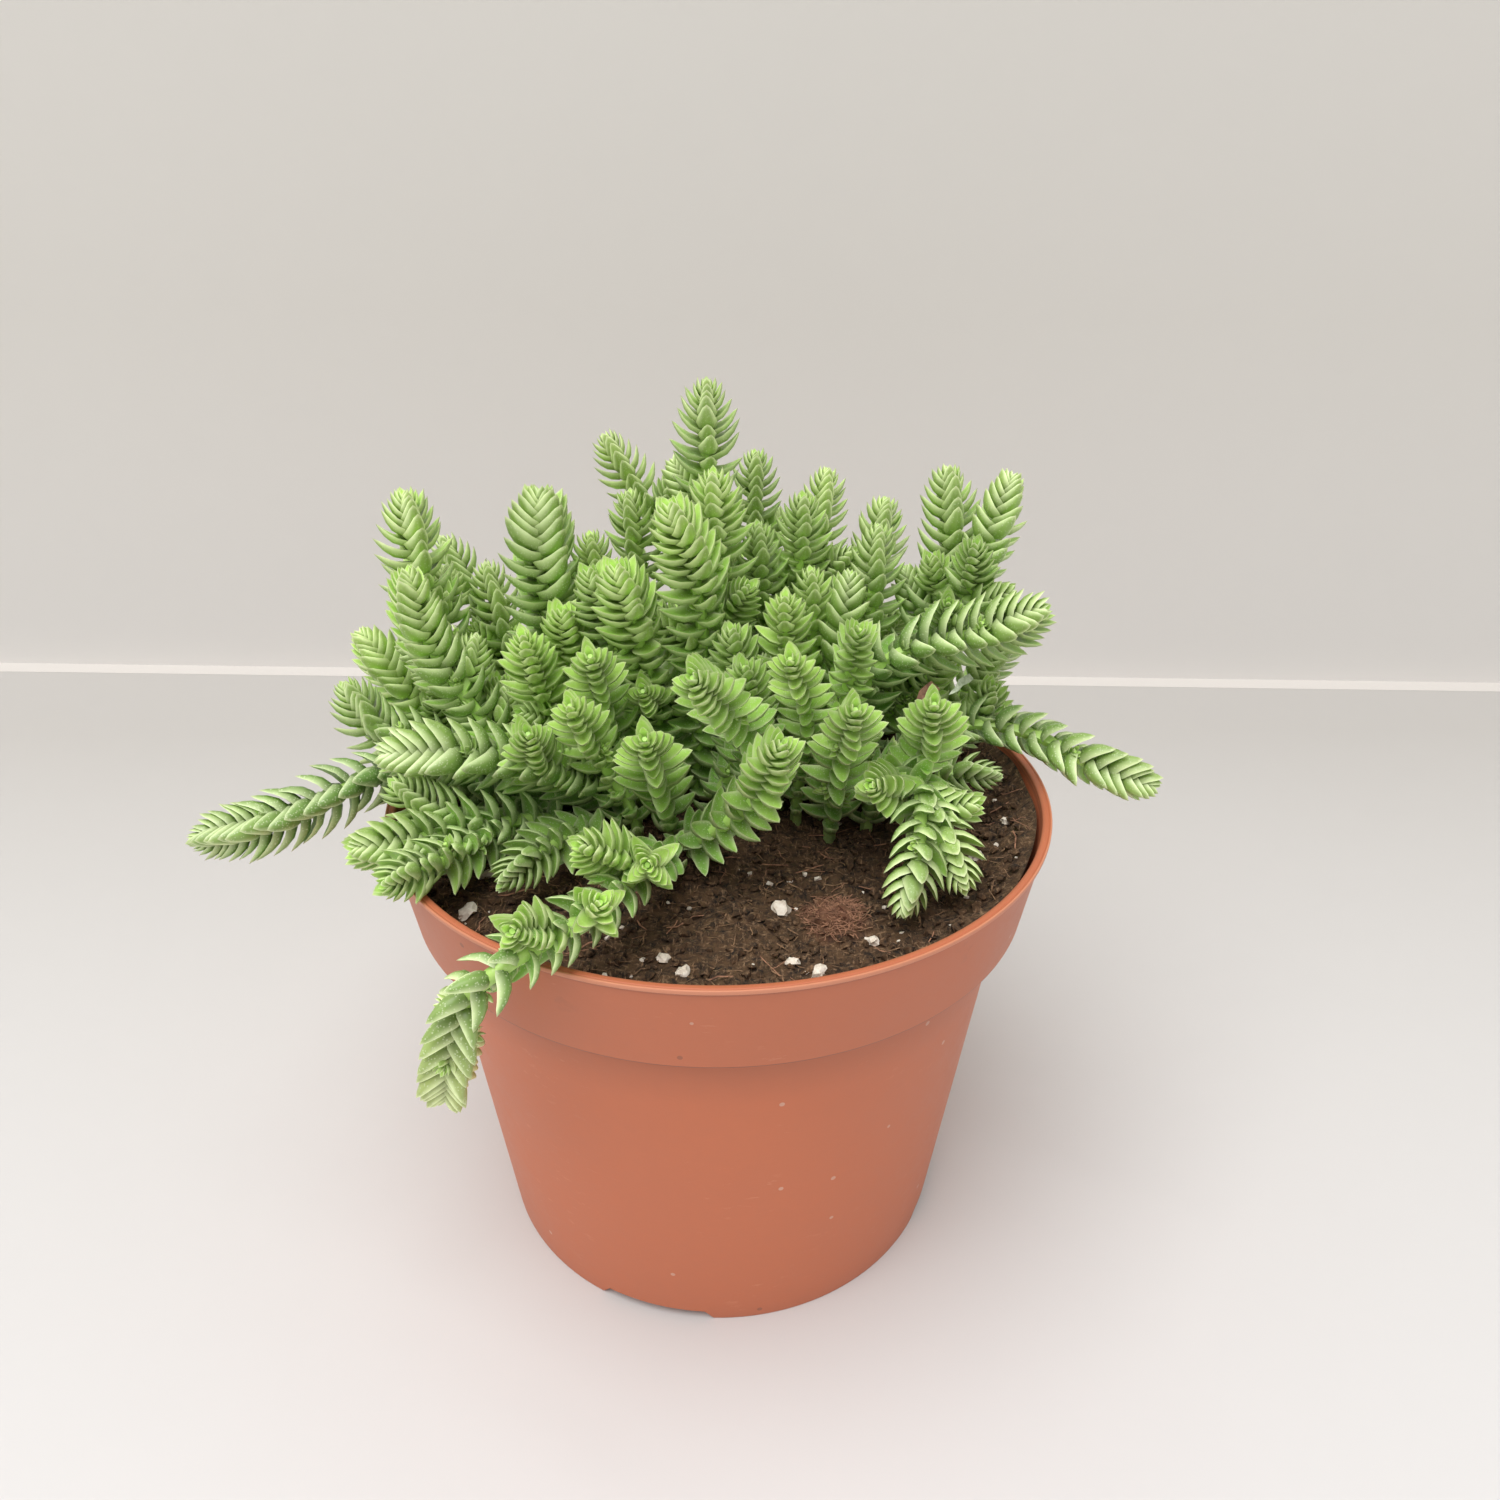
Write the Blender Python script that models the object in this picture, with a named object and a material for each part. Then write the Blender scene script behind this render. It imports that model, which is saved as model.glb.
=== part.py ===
"""A potted crassula: a tapered nursery pot, its soil, and the leafy stems that stand in it.

Sizes are in millimetres and become metres where the meshes are made. +Z is up, the origin is the
middle of the pot's foot on the table, and the side seen in the photograph faces -Y.
"""

import math
import random
from dataclasses import dataclass

import bmesh
import bpy
from mathutils import Matrix, Vector, kdtree

MM = 0.001
GAP = 0.3
MERGE = 0.001
SEED = 7

# Pot
POT_HEIGHT = 89.6
RIM_RADIUS = 60.0
LIP_HEIGHT = 1.0
LIP_UNDERCUT = 0.2
LIP_ROUNDING = 0.3
COLLAR_TOP_RADIUS = 59.3
COLLAR_FOOT_RADIUS = 56.7
COLLAR_FOOT_Z = 72.0
BODY_TOP_RADIUS = 53.2
BODY_FOOT_RADIUS = 44.5
WALL = 1.0
STEP_SLOPE = 0.4
FLOOR_UNDERSIDE = 3.0
FLOOR_TOP = 4.4
FOOT_RING_WIDTH = 3.0
PAD_RADIUS = 8.0
PAD_FLARE = 0.5
POT_SIDES = 34
NOTCHES = 4
NOTCH_WIDTH = 22.2
NOTCH_TOP_WIDTH = 18.8
NOTCH_DEPTH = 9.0
NOTCH_HEIGHT = 2.1
FIRST_NOTCH_DEG = 253.5
SHARP_DEG = 30.0
DRAINS = 6
DRAIN_SIDES = 10
DRAIN_RADIUS = 4.0
DRAIN_CIRCLE = 33.0

# Soil
SOIL_LEVEL = 82.0
SOIL_EDGE_DROP = 1.2
SOIL_EDGE_FLARE = 0.8
SOIL_SIDES = POT_SIDES
SOIL_RINGS = (47.0, 36.0, 24.0, 11.0)
COIR_LUMP_PLACE = (18.5, -32.5)
COIR_LUMP_RADIUS = 7.0
COIR_LUMP_HEIGHT = 2.2
SOIL_WAVES = (0.7, 0.45)
PERLITE_PLACES = (
    (-42, -29), (-40, -19), (-9, -42), (-6, -45), (10, -30), (11, -44), (15, -46), (45, -17), (52, -7),
    (24, -38), (-30, 44), (-6, 51), (24, 46), (44, 30), (51, 12), (-50, 8), (-45, 27),
)
PERLITE_RADIUS = (0.9, 1.5)
PERLITE_UNEVEN = (0.8, 1.15)
PERLITE_LIFT = 0.3

# Stems
STEM_HALF = 1.1
STEM_TIP_HALF = 0.55
TIP_TAPER = 9.0
HOLE_FOOT_Z = 73.0
HOLE_MOUTH_Z = 86.0
HOLE_RADIUS = 2.4
HOLE_SIDES = 5
STEM_FOOT_Z = 75.5
UPRIGHT_TO_Z = 84.0
PATH_STEP = 0.5
TURN_REFERENCE_Z = 0.21
BARE_STEP = 9.0
BARE_SHARE = 0.38
BARE_BRANCH = 5.0
BRANCH_FULLNESS = 0.95
BRANCH_FOLLOWS = 0.4
FORK_SHARED = 8.0
BUD_HEIGHT = 1.6

# Leaves, by pair from the tip of a stem down
PAIR_STEPS = (1.3, 1.7, 2.3, 3.0, 3.7, 4.3, 4.5)
LEAF_REACH = (2.3, 3.5, 4.2, 4.5, 4.5, 4.4)
LEAF_RISE = (2.6, 3.2, 3.5, 3.5, 3.3, 3.0)
LEAF_WIDTH = (1.9, 2.6, 3.2, 3.5, 3.7, 3.8)
LEAF_THICKNESS = (0.8, 0.9, 1.0, 1.1, 1.2, 1.3)
MARGIN_AT = 0.48
SHRINK_STEPS = (1.0, 0.85, 0.7, 0.55)
NEIGHBOUR_GAP = 0.45
NEIGHBOUR_SEARCH = 14.0
SOIL_CLEARANCE = 2.0
RIM_CLEARANCE = 0.5


@dataclass
class Stem:
    """One stem, its size of leaf, and its branches, each given as (share of the stem's length, points)."""

    name: str
    root: tuple
    points: tuple
    branches: tuple = ()
    fullness: float = 1.0


STEMS = (
    # Crown, from the tallest stem forwards
    Stem("stem_crown_1", (-1, 17), ((-1, 17, 112), (-2, 16, 135), (-2, 15, 158))),
    Stem("stem_crown_2", (2, 9), ((1, 8, 112), (0, 8, 128), (-1, 6, 145)), fullness=1.05),
    Stem("stem_crown_3", (-5, 7), ((-3, 3, 112), (-4, 0, 128), (-8, -3, 142)), fullness=1.2),
    Stem("stem_crown_4", (9, 17), ((8, 16, 112), (7, 16, 133)), fullness=0.9),
    Stem("stem_crown_5", (15, 22), ((17, 23, 116), (20, 27, 140)), ((0.38, ((15, 19, 120), (15, 17, 138))),)),
    Stem("stem_crown_6", (11, 4), ((12, 1, 108), (11, -4, 127)), fullness=0.95),
    Stem("stem_crown_7", (15, 11), ((17, 7, 110), (16, 6, 128)), fullness=0.9),
    Stem("stem_crown_8", (4, 2), ((3, -2, 106), (2, -6, 122))),
    # Back
    Stem("stem_back_1", (6, 31), ((7, 34, 116), (7, 37, 141))),
    Stem("stem_back_2", (-6, 33), ((-9, 37, 118), (-16, 40, 133), (-22, 42, 143))),
    Stem("stem_back_3", (-13, 25), ((-15, 28, 112), (-17, 30, 135))),
    Stem("stem_back_4", (24, 30), ((30, 35, 112), (33, 39, 131)), fullness=1.15),
    Stem("stem_back_5", (-25, 33), ((-32, 40, 100), (-39, 46, 113))),
    Stem("stem_back_6", (-12, 42), ((-17, 51, 98), (-21, 57, 112))),
    Stem("stem_back_7", (2, 43), ((2, 53, 100), (2, 57, 117))),
    Stem("stem_back_8", (15, 41), ((20, 50, 98), (24, 55, 111))),
    Stem("stem_back_9", (32, 33), ((40, 42, 98), (46, 47, 111))),
    Stem("stem_back_10", (-33, 25), ((-46, 35, 95), (-58, 40, 103))),
    Stem("stem_back_11", (-19, 24), ((-27, 26, 104), (-30, 30, 118))),
    Stem("stem_back_12", (15, 32), ((17, 41, 106), (17, 45, 123))),
    # Left
    Stem("stem_left_1", (-33, 7), ((-44, 9, 100), (-53, 12, 122), (-55, 14, 139))),
    Stem("stem_left_2", (-32, 17), ((-42, 24, 106), (-53, 30, 126))),
    Stem("stem_left_3", (-25, 18), ((-38, 18, 103), (-44, 24, 123))),
    Stem("stem_left_4", (-30, -1), ((-42, 0, 102), (-51, 2, 117), (-53, 2, 129)), fullness=1.15),
    Stem("stem_left_5", (-41, 13), ((-54, 14, 95), (-67, 17, 112))),
    Stem("stem_left_6", (-39, 3), ((-53, 3, 95), (-62, 3, 99), (-67, 4, 107))),
    Stem("stem_left_7", (-22, 10), ((-29, 9, 108), (-31, 8, 124), (-31, 10, 140)),
         ((0.30, ((-27, 3, 113), (-27, 0, 123))),), fullness=1.15),
    Stem("stem_left_8", (-15, 14), ((-21, 13, 110), (-23, 14, 132)), fullness=0.9),
    Stem("stem_left_9", (-23, 1), ((-31, -1, 107), (-33, -6, 121))),
    Stem("stem_left_10", (-11, 6), ((-12, 2, 106), (-14, 0, 117), (-17, -4, 132)),
         ((0.40, ((-19, 3, 117), (-22, 0, 130))),), fullness=1.2),
    Stem("stem_left_11", (-17, -3), ((-27, -10, 98), (-40, -14, 103), (-55, -16, 104)),
         ((0.36, ((-31, -15, 103), (-31, -20, 110))),), fullness=1.25),
    Stem("stem_left_12", (-29, -8), ((-40, -17, 91), (-48, -26, 94), (-57, -32, 96)),
         ((0.42, ((-44, -29, 92), (-51, -39, 94))), (0.50, ((-49, -20, 96), (-53, -21, 101))))),
    Stem("stem_left_13", (-21, -12), ((-28, -22, 90), (-35, -31, 89))),
    # Front
    Stem("stem_front_1", (-16, 3), ((-20, -4, 106), (-21, -14, 121))),
    Stem("stem_front_2", (-15, -9), ((-21, -12, 102), (-24, -20, 115)), fullness=0.95),
    Stem("stem_front_3", (-9, -8), ((-11, -14, 99), (-12, -24, 111)), fullness=1.05),
    Stem("stem_front_4", (7, -3), ((7, -11, 103), (3, -21, 113), (-4, -34, 126))),
    Stem("stem_front_5", (-1, -3), ((5, -8, 104), (4, -14, 119)), fullness=0.95),
    Stem("stem_front_6", (14, -2), ((15, -10, 108), (11, -20, 123)), fullness=0.85),
    Stem("stem_front_7", (-5, -13), ((-3, -20, 90), (5, -27, 101), (9, -34, 115)), fullness=1.05),
    Stem("stem_front_8", (20, -6), ((20, -15, 101), (21, -26, 117)), fullness=0.95),
    Stem("stem_front_9", (27, -4), ((33, -16, 99), (32, -30, 95), (29, -37, 87)),
         ((0.40, ((28, -21, 100), (24, -27, 104))), (0.46, ((38, -20, 96), (42, -23, 98))),
          (0.58, ((37, -27, 93), (39, -33, 89))))),
    # Right
    Stem("stem_right_1", (29, 19), ((39, 16, 114), (43, 20, 127), (42, 24, 141)),
         ((0.40, ((44, 12, 118), (49, 16, 130), (53, 20, 141))),)),
    Stem("stem_right_2", (22, 16), ((28, 15, 114), (29, 18, 132))),
    Stem("stem_right_3", (23, 9), ((28, 5, 110), (38, 4, 116), (46, 1, 119), (55, -2, 124)), fullness=1.2),
    Stem("stem_right_4", (19, 1), ((22, -4, 109), (23, -10, 124)), ((0.30, ((21, 3, 112), (23, 9, 126))),),
         fullness=0.85),
    Stem("stem_right_5", (28, 3), ((35, -12, 102), (34, -22, 116)), fullness=1.05),
    Stem("stem_right_6", (33, 10), ((45, 6, 98), (57, 1, 99), (66, -4, 96), (77, -8, 93)),
         ((0.28, ((48, 8, 99), (50, 6, 106))),)),
    Stem("stem_right_7", (38, 22), ((50, 27, 95), (59, 30, 107))),
    Stem("stem_right_8", (36, 0), ((41, -2, 92), (50, -4, 93)), fullness=0.85),
    # Front-left trailing stem, over the rim and down outside it
    Stem("stem_trail_front", (-9, -20), ((-11, -29, 91), (-17, -42, 93), (-23, -52, 94), (-29, -60, 95),
                                         (-35, -61, 90), (-39, -58, 79), (-42, -54, 65)),
         ((0.26, ((-17, -36, 97), (-21, -40, 101))), (0.26, ((-11, -37, 96), (-11, -42, 99))),
          (0.42, ((-18, -51, 97), (-17, -53, 100))), (0.50, ((-27, -57, 98), (-28, -61, 101))))),
    # Left trailing stem, over the rim
    Stem("stem_trail_left", (-36, -4), ((-50, -6, 94), (-59, -10, 97), (-74, -18, 93), (-87, -21, 91))),
)

STEM_COLOUR = (0.155, 0.290, 0.065, 1.0)
POT_COLOUR = (0.515, 0.150, 0.085, 1.0)
SOIL_COLOUR = (0.040, 0.022, 0.014, 1.0)


def clear_scene():
    """Remove the objects that the scene opens with."""
    for item in list(bpy.data.objects):
        bpy.data.objects.remove(item)


def finish(name, colour, roughness):
    """A plain Principled material."""
    material = bpy.data.materials.new(name)
    material.use_nodes = True
    shader = material.node_tree.nodes["Principled BSDF"]
    shader.inputs["Base Color"].default_value = colour
    shader.inputs["Roughness"].default_value = roughness
    shader.inputs["Metallic"].default_value = 0.0
    return material


def add_object(name, shape, material=None):
    """Turn a bmesh in millimetres into an object in metres, with its faces pointing outwards."""
    bmesh.ops.recalc_face_normals(shape, faces=shape.faces)
    bmesh.ops.scale(shape, vec=(MM, MM, MM), verts=shape.verts)
    mesh = bpy.data.meshes.new(name)
    shape.to_mesh(mesh)
    shape.free()
    item = bpy.data.objects.new(name, mesh)
    bpy.context.scene.collection.objects.link(item)
    if material:
        mesh.materials.append(material)
    return item


def combine(target, tools, operation):
    """Apply one Boolean with a collection of tool objects, then remove them."""
    group = bpy.data.collections.new(target.name + "_tools")
    for tool in tools:
        group.objects.link(tool)
    modifier = target.modifiers.new(operation.lower(), "BOOLEAN")
    modifier.operation = operation
    modifier.operand_type = "COLLECTION"
    modifier.collection = group
    modifier.solver = "EXACT"
    bpy.context.view_layer.objects.active = target
    bpy.ops.object.modifier_apply(modifier=modifier.name)
    for tool in tools:
        bpy.data.objects.remove(tool)
    bpy.data.collections.remove(group)


def turned(profile, sides):
    """Spin a profile of (radius, height) points, which starts and ends on the axis."""
    shape = bmesh.new()
    points = [shape.verts.new((radius, 0.0, height)) for radius, height in profile]
    edges = [shape.edges.new(pair) for pair in zip(points, points[1:])]
    bmesh.ops.spin(shape, geom=points + edges, axis=(0, 0, 1), cent=(0, 0, 0), steps=sides,
                   angle=math.tau, use_duplicate=False)
    bmesh.ops.remove_doubles(shape, verts=shape.verts, dist=MERGE)
    return shape


def prism(centre, radius, height, sides):
    """An upright prism whose middle is at centre."""
    shape = bmesh.new()
    bmesh.ops.create_cone(shape, cap_ends=True, segments=sides, radius1=radius, radius2=radius, depth=height)
    bmesh.ops.translate(shape, verts=shape.verts, vec=centre)
    return shape


def body_radius(height):
    """Outer radius of the pot's tapered body at a height."""
    return BODY_FOOT_RADIUS + (BODY_TOP_RADIUS - BODY_FOOT_RADIUS) * height / COLLAR_FOOT_Z


def make_pot(material):
    """The pot: body, stepped collar, lip, raised floor, foot ring with notches, and a middle pad."""
    lip_foot = POT_HEIGHT - LIP_HEIGHT
    profile = (
        (0.0, 0.0),
        (PAD_RADIUS, 0.0),
        (PAD_RADIUS + PAD_FLARE, FLOOR_UNDERSIDE),
        (BODY_FOOT_RADIUS - FOOT_RING_WIDTH, FLOOR_UNDERSIDE),
        (BODY_FOOT_RADIUS - FOOT_RING_WIDTH, 0.0),
        (BODY_FOOT_RADIUS, 0.0),
        (BODY_TOP_RADIUS, COLLAR_FOOT_Z),
        (COLLAR_FOOT_RADIUS, COLLAR_FOOT_Z + STEP_SLOPE),
        (COLLAR_TOP_RADIUS, lip_foot),
        (RIM_RADIUS, lip_foot + LIP_UNDERCUT),
        (RIM_RADIUS - LIP_ROUNDING, POT_HEIGHT),
        (COLLAR_TOP_RADIUS - WALL, POT_HEIGHT),
        (COLLAR_FOOT_RADIUS - WALL, COLLAR_FOOT_Z + WALL + STEP_SLOPE),
        (BODY_TOP_RADIUS - WALL, COLLAR_FOOT_Z + WALL),
        (body_radius(FLOOR_TOP) - WALL, FLOOR_TOP),
        (0.0, FLOOR_TOP),
    )
    pot = add_object("pot", turned(profile, POT_SIDES), material)
    cutters = []
    for number in range(NOTCHES):
        angle = math.radians(FIRST_NOTCH_DEG) + math.tau * number / NOTCHES
        outwards = Vector((math.cos(angle), math.sin(angle), 0))
        notch = bmesh.new()
        bmesh.ops.create_cube(notch, size=1.0)
        for point in notch.verts:
            point.co.y *= NOTCH_WIDTH - 2 * point.co.z * (NOTCH_WIDTH - NOTCH_TOP_WIDTH)
        bmesh.ops.scale(notch, verts=notch.verts, vec=(NOTCH_DEPTH, 1.0, 2 * NOTCH_HEIGHT))
        bmesh.ops.rotate(notch, verts=notch.verts, cent=(0, 0, 0), matrix=Matrix.Rotation(angle, 3, "Z"))
        bmesh.ops.translate(notch, verts=notch.verts, vec=outwards * (BODY_FOOT_RADIUS - FOOT_RING_WIDTH / 2))
        cutters.append(add_object(f"notch_{number}", notch))
    for number in range(DRAINS):
        angle = math.tau * number / DRAINS
        place = Vector((DRAIN_CIRCLE * math.cos(angle), DRAIN_CIRCLE * math.sin(angle), FLOOR_TOP))
        drain = prism(place, DRAIN_RADIUS, 3 * FLOOR_TOP, DRAIN_SIDES)
        cutters.append(add_object(f"drain_{number}", drain))
    combine(pot, cutters, "DIFFERENCE")
    pot.data.shade_smooth()
    pot.data.set_sharp_from_angle(angle=math.radians(SHARP_DEG))
    return pot


def soil_height(x, y):
    """Height of the uneven soil surface, with one lump of coir near the front."""
    broad, short = SOIL_WAVES
    waves = broad * math.sin(0.21 * x + 0.6) * math.cos(0.17 * y) + short * math.sin(0.33 * y - 0.25 * x)
    away = math.dist((x, y), COIR_LUMP_PLACE) / COIR_LUMP_RADIUS
    lump = COIR_LUMP_HEIGHT * max(0.0, 1.0 - away * away)
    edge = SOIL_EDGE_DROP * (math.hypot(x, y) / COLLAR_FOOT_RADIUS) ** 4
    return SOIL_LEVEL + waves + lump - edge


def make_soil(material, stems):
    """The soil: it fills the pot, with perlite grains in its surface and a plain hole for each stem."""
    inside = WALL + GAP
    edge_radius = COLLAR_FOOT_RADIUS - inside + SOIL_EDGE_FLARE
    profile = [
        (0.0, FLOOR_TOP + GAP),
        (body_radius(FLOOR_TOP) - inside, FLOOR_TOP + GAP),
        (BODY_TOP_RADIUS - inside, COLLAR_FOOT_Z + WALL + GAP),
        (COLLAR_FOOT_RADIUS - inside, COLLAR_FOOT_Z + WALL + STEP_SLOPE + GAP),
        (edge_radius, SOIL_LEVEL - SOIL_EDGE_DROP),
    ]
    profile += [(radius, SOIL_LEVEL) for radius in SOIL_RINGS] + [(0.0, SOIL_LEVEL)]
    shape = turned(profile, SOIL_SIDES)
    for point in shape.verts:
        if point.co.z > SOIL_LEVEL - SOIL_EDGE_DROP - GAP:
            point.co.z = soil_height(point.co.x, point.co.y)
    soil = add_object("soil", shape, material)

    chance = random.Random(SEED)
    grains = []
    for number, (x, y) in enumerate(PERLITE_PLACES):
        grain = bmesh.new()
        bmesh.ops.create_icosphere(grain, subdivisions=1, radius=chance.uniform(*PERLITE_RADIUS))
        for point in grain.verts:
            point.co *= chance.uniform(*PERLITE_UNEVEN)
        bmesh.ops.translate(grain, verts=grain.verts, vec=(x, y, soil_height(x, y) + PERLITE_LIFT))
        grains.append(add_object(f"grain_{number}", grain))
    combine(soil, grains, "UNION")

    holes = []
    for stem in stems:
        middle = stem.root + ((HOLE_FOOT_Z + HOLE_MOUTH_Z) / 2,)
        hole = prism(middle, HOLE_RADIUS, HOLE_MOUTH_Z - HOLE_FOOT_Z, HOLE_SIDES)
        holes.append(add_object(stem.name + "_hole", hole))
    combine(soil, holes, "DIFFERENCE")
    return soil


def smooth_path(points, start_direction):
    """Points about PATH_STEP apart on one smooth curve through the given points."""
    points = [Vector(point) for point in points]
    spans = [(after - before).length for before, after in zip(points, points[1:])]
    slopes = [start_direction.normalized()]
    for index in range(1, len(points) - 1):
        slopes.append((points[index + 1] - points[index - 1]) / (spans[index] + spans[index - 1]))
    slopes.append((points[-1] - points[-2]).normalized())
    path = [points[0]]
    for index, span in enumerate(spans):
        steps = max(2, round(span / PATH_STEP))
        for step in range(1, steps + 1):
            t = step / steps
            path.append(
                points[index] * (2 * t**3 - 3 * t**2 + 1)
                + slopes[index] * (span * (t**3 - 2 * t**2 + t))
                + points[index + 1] * (3 * t**2 - 2 * t**3)
                + slopes[index + 1] * (span * (t**3 - t**2))
            )
    return path


class Shoot:
    """The path of one stem or branch, with a frame that follows it without twisting."""

    def __init__(self, path, twist, bare, fullness):
        self.path = path
        self.bare = bare
        self.fullness = fullness
        self.lengths = [0.0]
        for before, after in zip(path, path[1:]):
            self.lengths.append(self.lengths[-1] + (after - before).length)
        self.sides = []
        forward = (path[1] - path[0]).normalized()
        side = forward.cross(Vector((math.cos(twist), math.sin(twist), TURN_REFERENCE_Z))).normalized()
        for index in range(len(path)):
            forward = self.direction(index)
            side = (side - forward * side.dot(forward)).normalized()
            self.sides.append(side)

    @property
    def length(self):
        """Length of the whole path."""
        return self.lengths[-1]

    def direction(self, index):
        """Forward direction at a point of the path."""
        after = min(index + 1, len(self.path) - 1)
        before = max(index - 1, 0)
        return (self.path[after] - self.path[before]).normalized()

    def at(self, distance):
        """Position, forward direction and two side directions at a distance along the path."""
        index = min(range(len(self.lengths)), key=lambda i: abs(self.lengths[i] - distance))
        forward = self.direction(index)
        side = self.sides[index]
        place = self.path[index] + forward * (distance - self.lengths[index])
        return place, forward, side, forward.cross(side)


def shoots_of(stem, chance):
    """The stem's own shoot and one for each branch."""
    x, y = stem.root
    foot = Vector((x, y, STEM_FOOT_Z))
    neck = Vector((x, y, UPRIGHT_TO_Z))
    path = smooth_path((foot, neck), Vector((0, 0, 1)))[:-1]
    path += smooth_path((neck,) + stem.points, Vector((0, 0, 1)))
    main = Shoot(path, chance.uniform(0, math.pi), 0.0, stem.fullness)
    main.bare = BARE_SHARE * main.length
    shoots = [main]
    for share, points in stem.branches:
        fork, forward, _, _ = main.at(share * main.length)
        outwards = (Vector(points[0]) - fork).normalized()
        path = smooth_path((fork,) + points, forward * BRANCH_FOLLOWS + outwards)
        shoots.append(Shoot(path, chance.uniform(0, math.pi), BARE_BRANCH, BRANCH_FULLNESS))
    return shoots


def clear_of_pot(point):
    """True where a leaf's corner misses the soil, the pot's wall and its lip."""
    radius = math.hypot(point.x, point.y)
    if radius < COLLAR_FOOT_RADIUS - WALL - GAP:
        return point.z > soil_height(point.x, point.y) + SOIL_CLEARANCE
    if radius < RIM_RADIUS + RIM_CLEARANCE:
        return point.z > POT_HEIGHT + RIM_CLEARANCE
    return True


class Room:
    """Knows where every shoot runs, so that a leaf stays on its own side of the middle."""

    def __init__(self, shoots_by_stem):
        marks = []
        for shoots in shoots_by_stem:
            for number, shoot in enumerate(shoots):
                for index in range(0, len(shoot.path), 2):
                    shared = number > 0 and shoot.lengths[index] < FORK_SHARED
                    marks.append((shoot.path[index], shoots[0] if shared else shoot))
        self.owners = [owner for _, owner in marks]
        self.tree = kdtree.KDTree(len(marks))
        for index, (place, _) in enumerate(marks):
            self.tree.insert(place, index)
        self.tree.balance()

    def holds(self, shoot, point):
        """True where the point is nearer to its own shoot than to any other, by NEIGHBOUR_GAP."""
        own = other = NEIGHBOUR_SEARCH
        for _, index, distance in self.tree.find_range(point, NEIGHBOUR_SEARCH):
            if self.owners[index] is shoot:
                own = min(own, distance)
            else:
                other = min(other, distance)
        return other - own > NEIGHBOUR_GAP and clear_of_pot(point)


def by_pair(sizes, pair):
    """The size of a pair counted from the tip. All older pairs share the last one."""
    return sizes[min(pair, len(sizes) - 1)]


def leaf_points(centre, outwards, along, sideways, pair, step, scale):
    """The two margin points and the tip of a leaf whose root is centred on a face of the stem."""
    reach = by_pair(LEAF_REACH, pair) * scale
    rise = by_pair(LEAF_RISE, pair) * (0.5 + 0.5 * scale)
    half_width = by_pair(LEAF_WIDTH, pair) / 2 * (0.4 + 0.6 * scale)
    keel = -step / 2 + (rise + step / 2) * MARGIN_AT
    middle = centre + outwards * (MARGIN_AT * reach) + along * (keel + by_pair(LEAF_THICKNESS, pair))
    tip = centre + outwards * reach + along * rise
    return middle - sideways * half_width, middle + sideways * half_width, tip


def add_leaf(shape, face, frame, pair, step, shoot, room):
    """Raise one pointed, keeled leaf from a face of the stem, as large as its neighbours leave room for."""
    outwards, along, sideways = frame
    centre = face.calc_center_median()
    for scale in SHRINK_STEPS:
        corners = leaf_points(centre, outwards, along, sideways, pair, step, scale * shoot.fullness)
        if all(room.holds(shoot, corner) for corner in corners):
            break
    else:
        return
    ordered = sorted(face.verts, key=lambda v: (v.co - centre).dot(along))
    low = sorted(ordered[:2], key=lambda v: (v.co - centre).dot(sideways))
    high = sorted(ordered[2:], key=lambda v: (v.co - centre).dot(sideways))
    left, right, tip = (shape.verts.new(corner) for corner in corners)
    bmesh.ops.delete(shape, geom=[face], context="FACES_ONLY")
    for corners in (
        (high[0], high[1], right, left),
        (left, right, tip),
        (low[0], high[0], left),
        (low[0], left, tip),
        (high[1], low[1], right),
        (low[1], tip, right),
        (low[0], tip, low[1]),
    ):
        shape.faces.new(corners)


def stations_of(shoot):
    """Distances along the shoot for its rings, and the pair number above each ring, -1 where it is bare."""
    at, pair = shoot.length - BUD_HEIGHT, 0
    stations = [(at, -1)]
    while at - by_pair(PAIR_STEPS, pair) > shoot.bare:
        at -= by_pair(PAIR_STEPS, pair)
        stations.append((at, pair))
        pair += 1
    bare_steps = max(1, round(at / BARE_STEP))
    stations += [(at * (1 - number / bare_steps), -1) for number in range(1, bare_steps + 1)]
    return stations[::-1]


def shoot_shape(shoot, room):
    """A closed square stem with a pair of leaves on each stretch, turned a quarter from pair to pair."""
    shape = bmesh.new()
    stations = stations_of(shoot)
    rings = []
    for distance, _ in stations:
        place, forward, side, across = shoot.at(distance)
        to_tip = min(1.0, (shoot.length - distance) / TIP_TAPER)
        half = STEM_TIP_HALF + (STEM_HALF - STEM_TIP_HALF) * to_tip
        rings.append([shape.verts.new(place + (side * a + across * b) * half)
                      for a, b in ((1, 1), (-1, 1), (-1, -1), (1, -1))])
    shape.faces.new(rings[0][::-1])
    point = shape.verts.new(shoot.path[-1])
    for a in range(4):
        shape.faces.new((rings[-1][a], rings[-1][(a + 1) % 4], point))
    for level in range(len(rings) - 1):
        distance, pair = stations[level]
        step = stations[level + 1][0] - distance
        _, forward, side, across = shoot.at(distance + step / 2)
        outs = (across, -side, -across, side)
        for a in range(4):
            b = (a + 1) % 4
            low, high = rings[level], rings[level + 1]
            face = shape.faces.new((low[a], low[b], high[b], high[a]))
            if pair >= 0 and (a + pair) % 2 == 0:
                frame = (outs[a], forward, forward.cross(outs[a]))
                add_leaf(shape, face, frame, pair, step, shoot, room)
    bmesh.ops.triangulate(shape, faces=shape.faces)
    return shape


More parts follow.
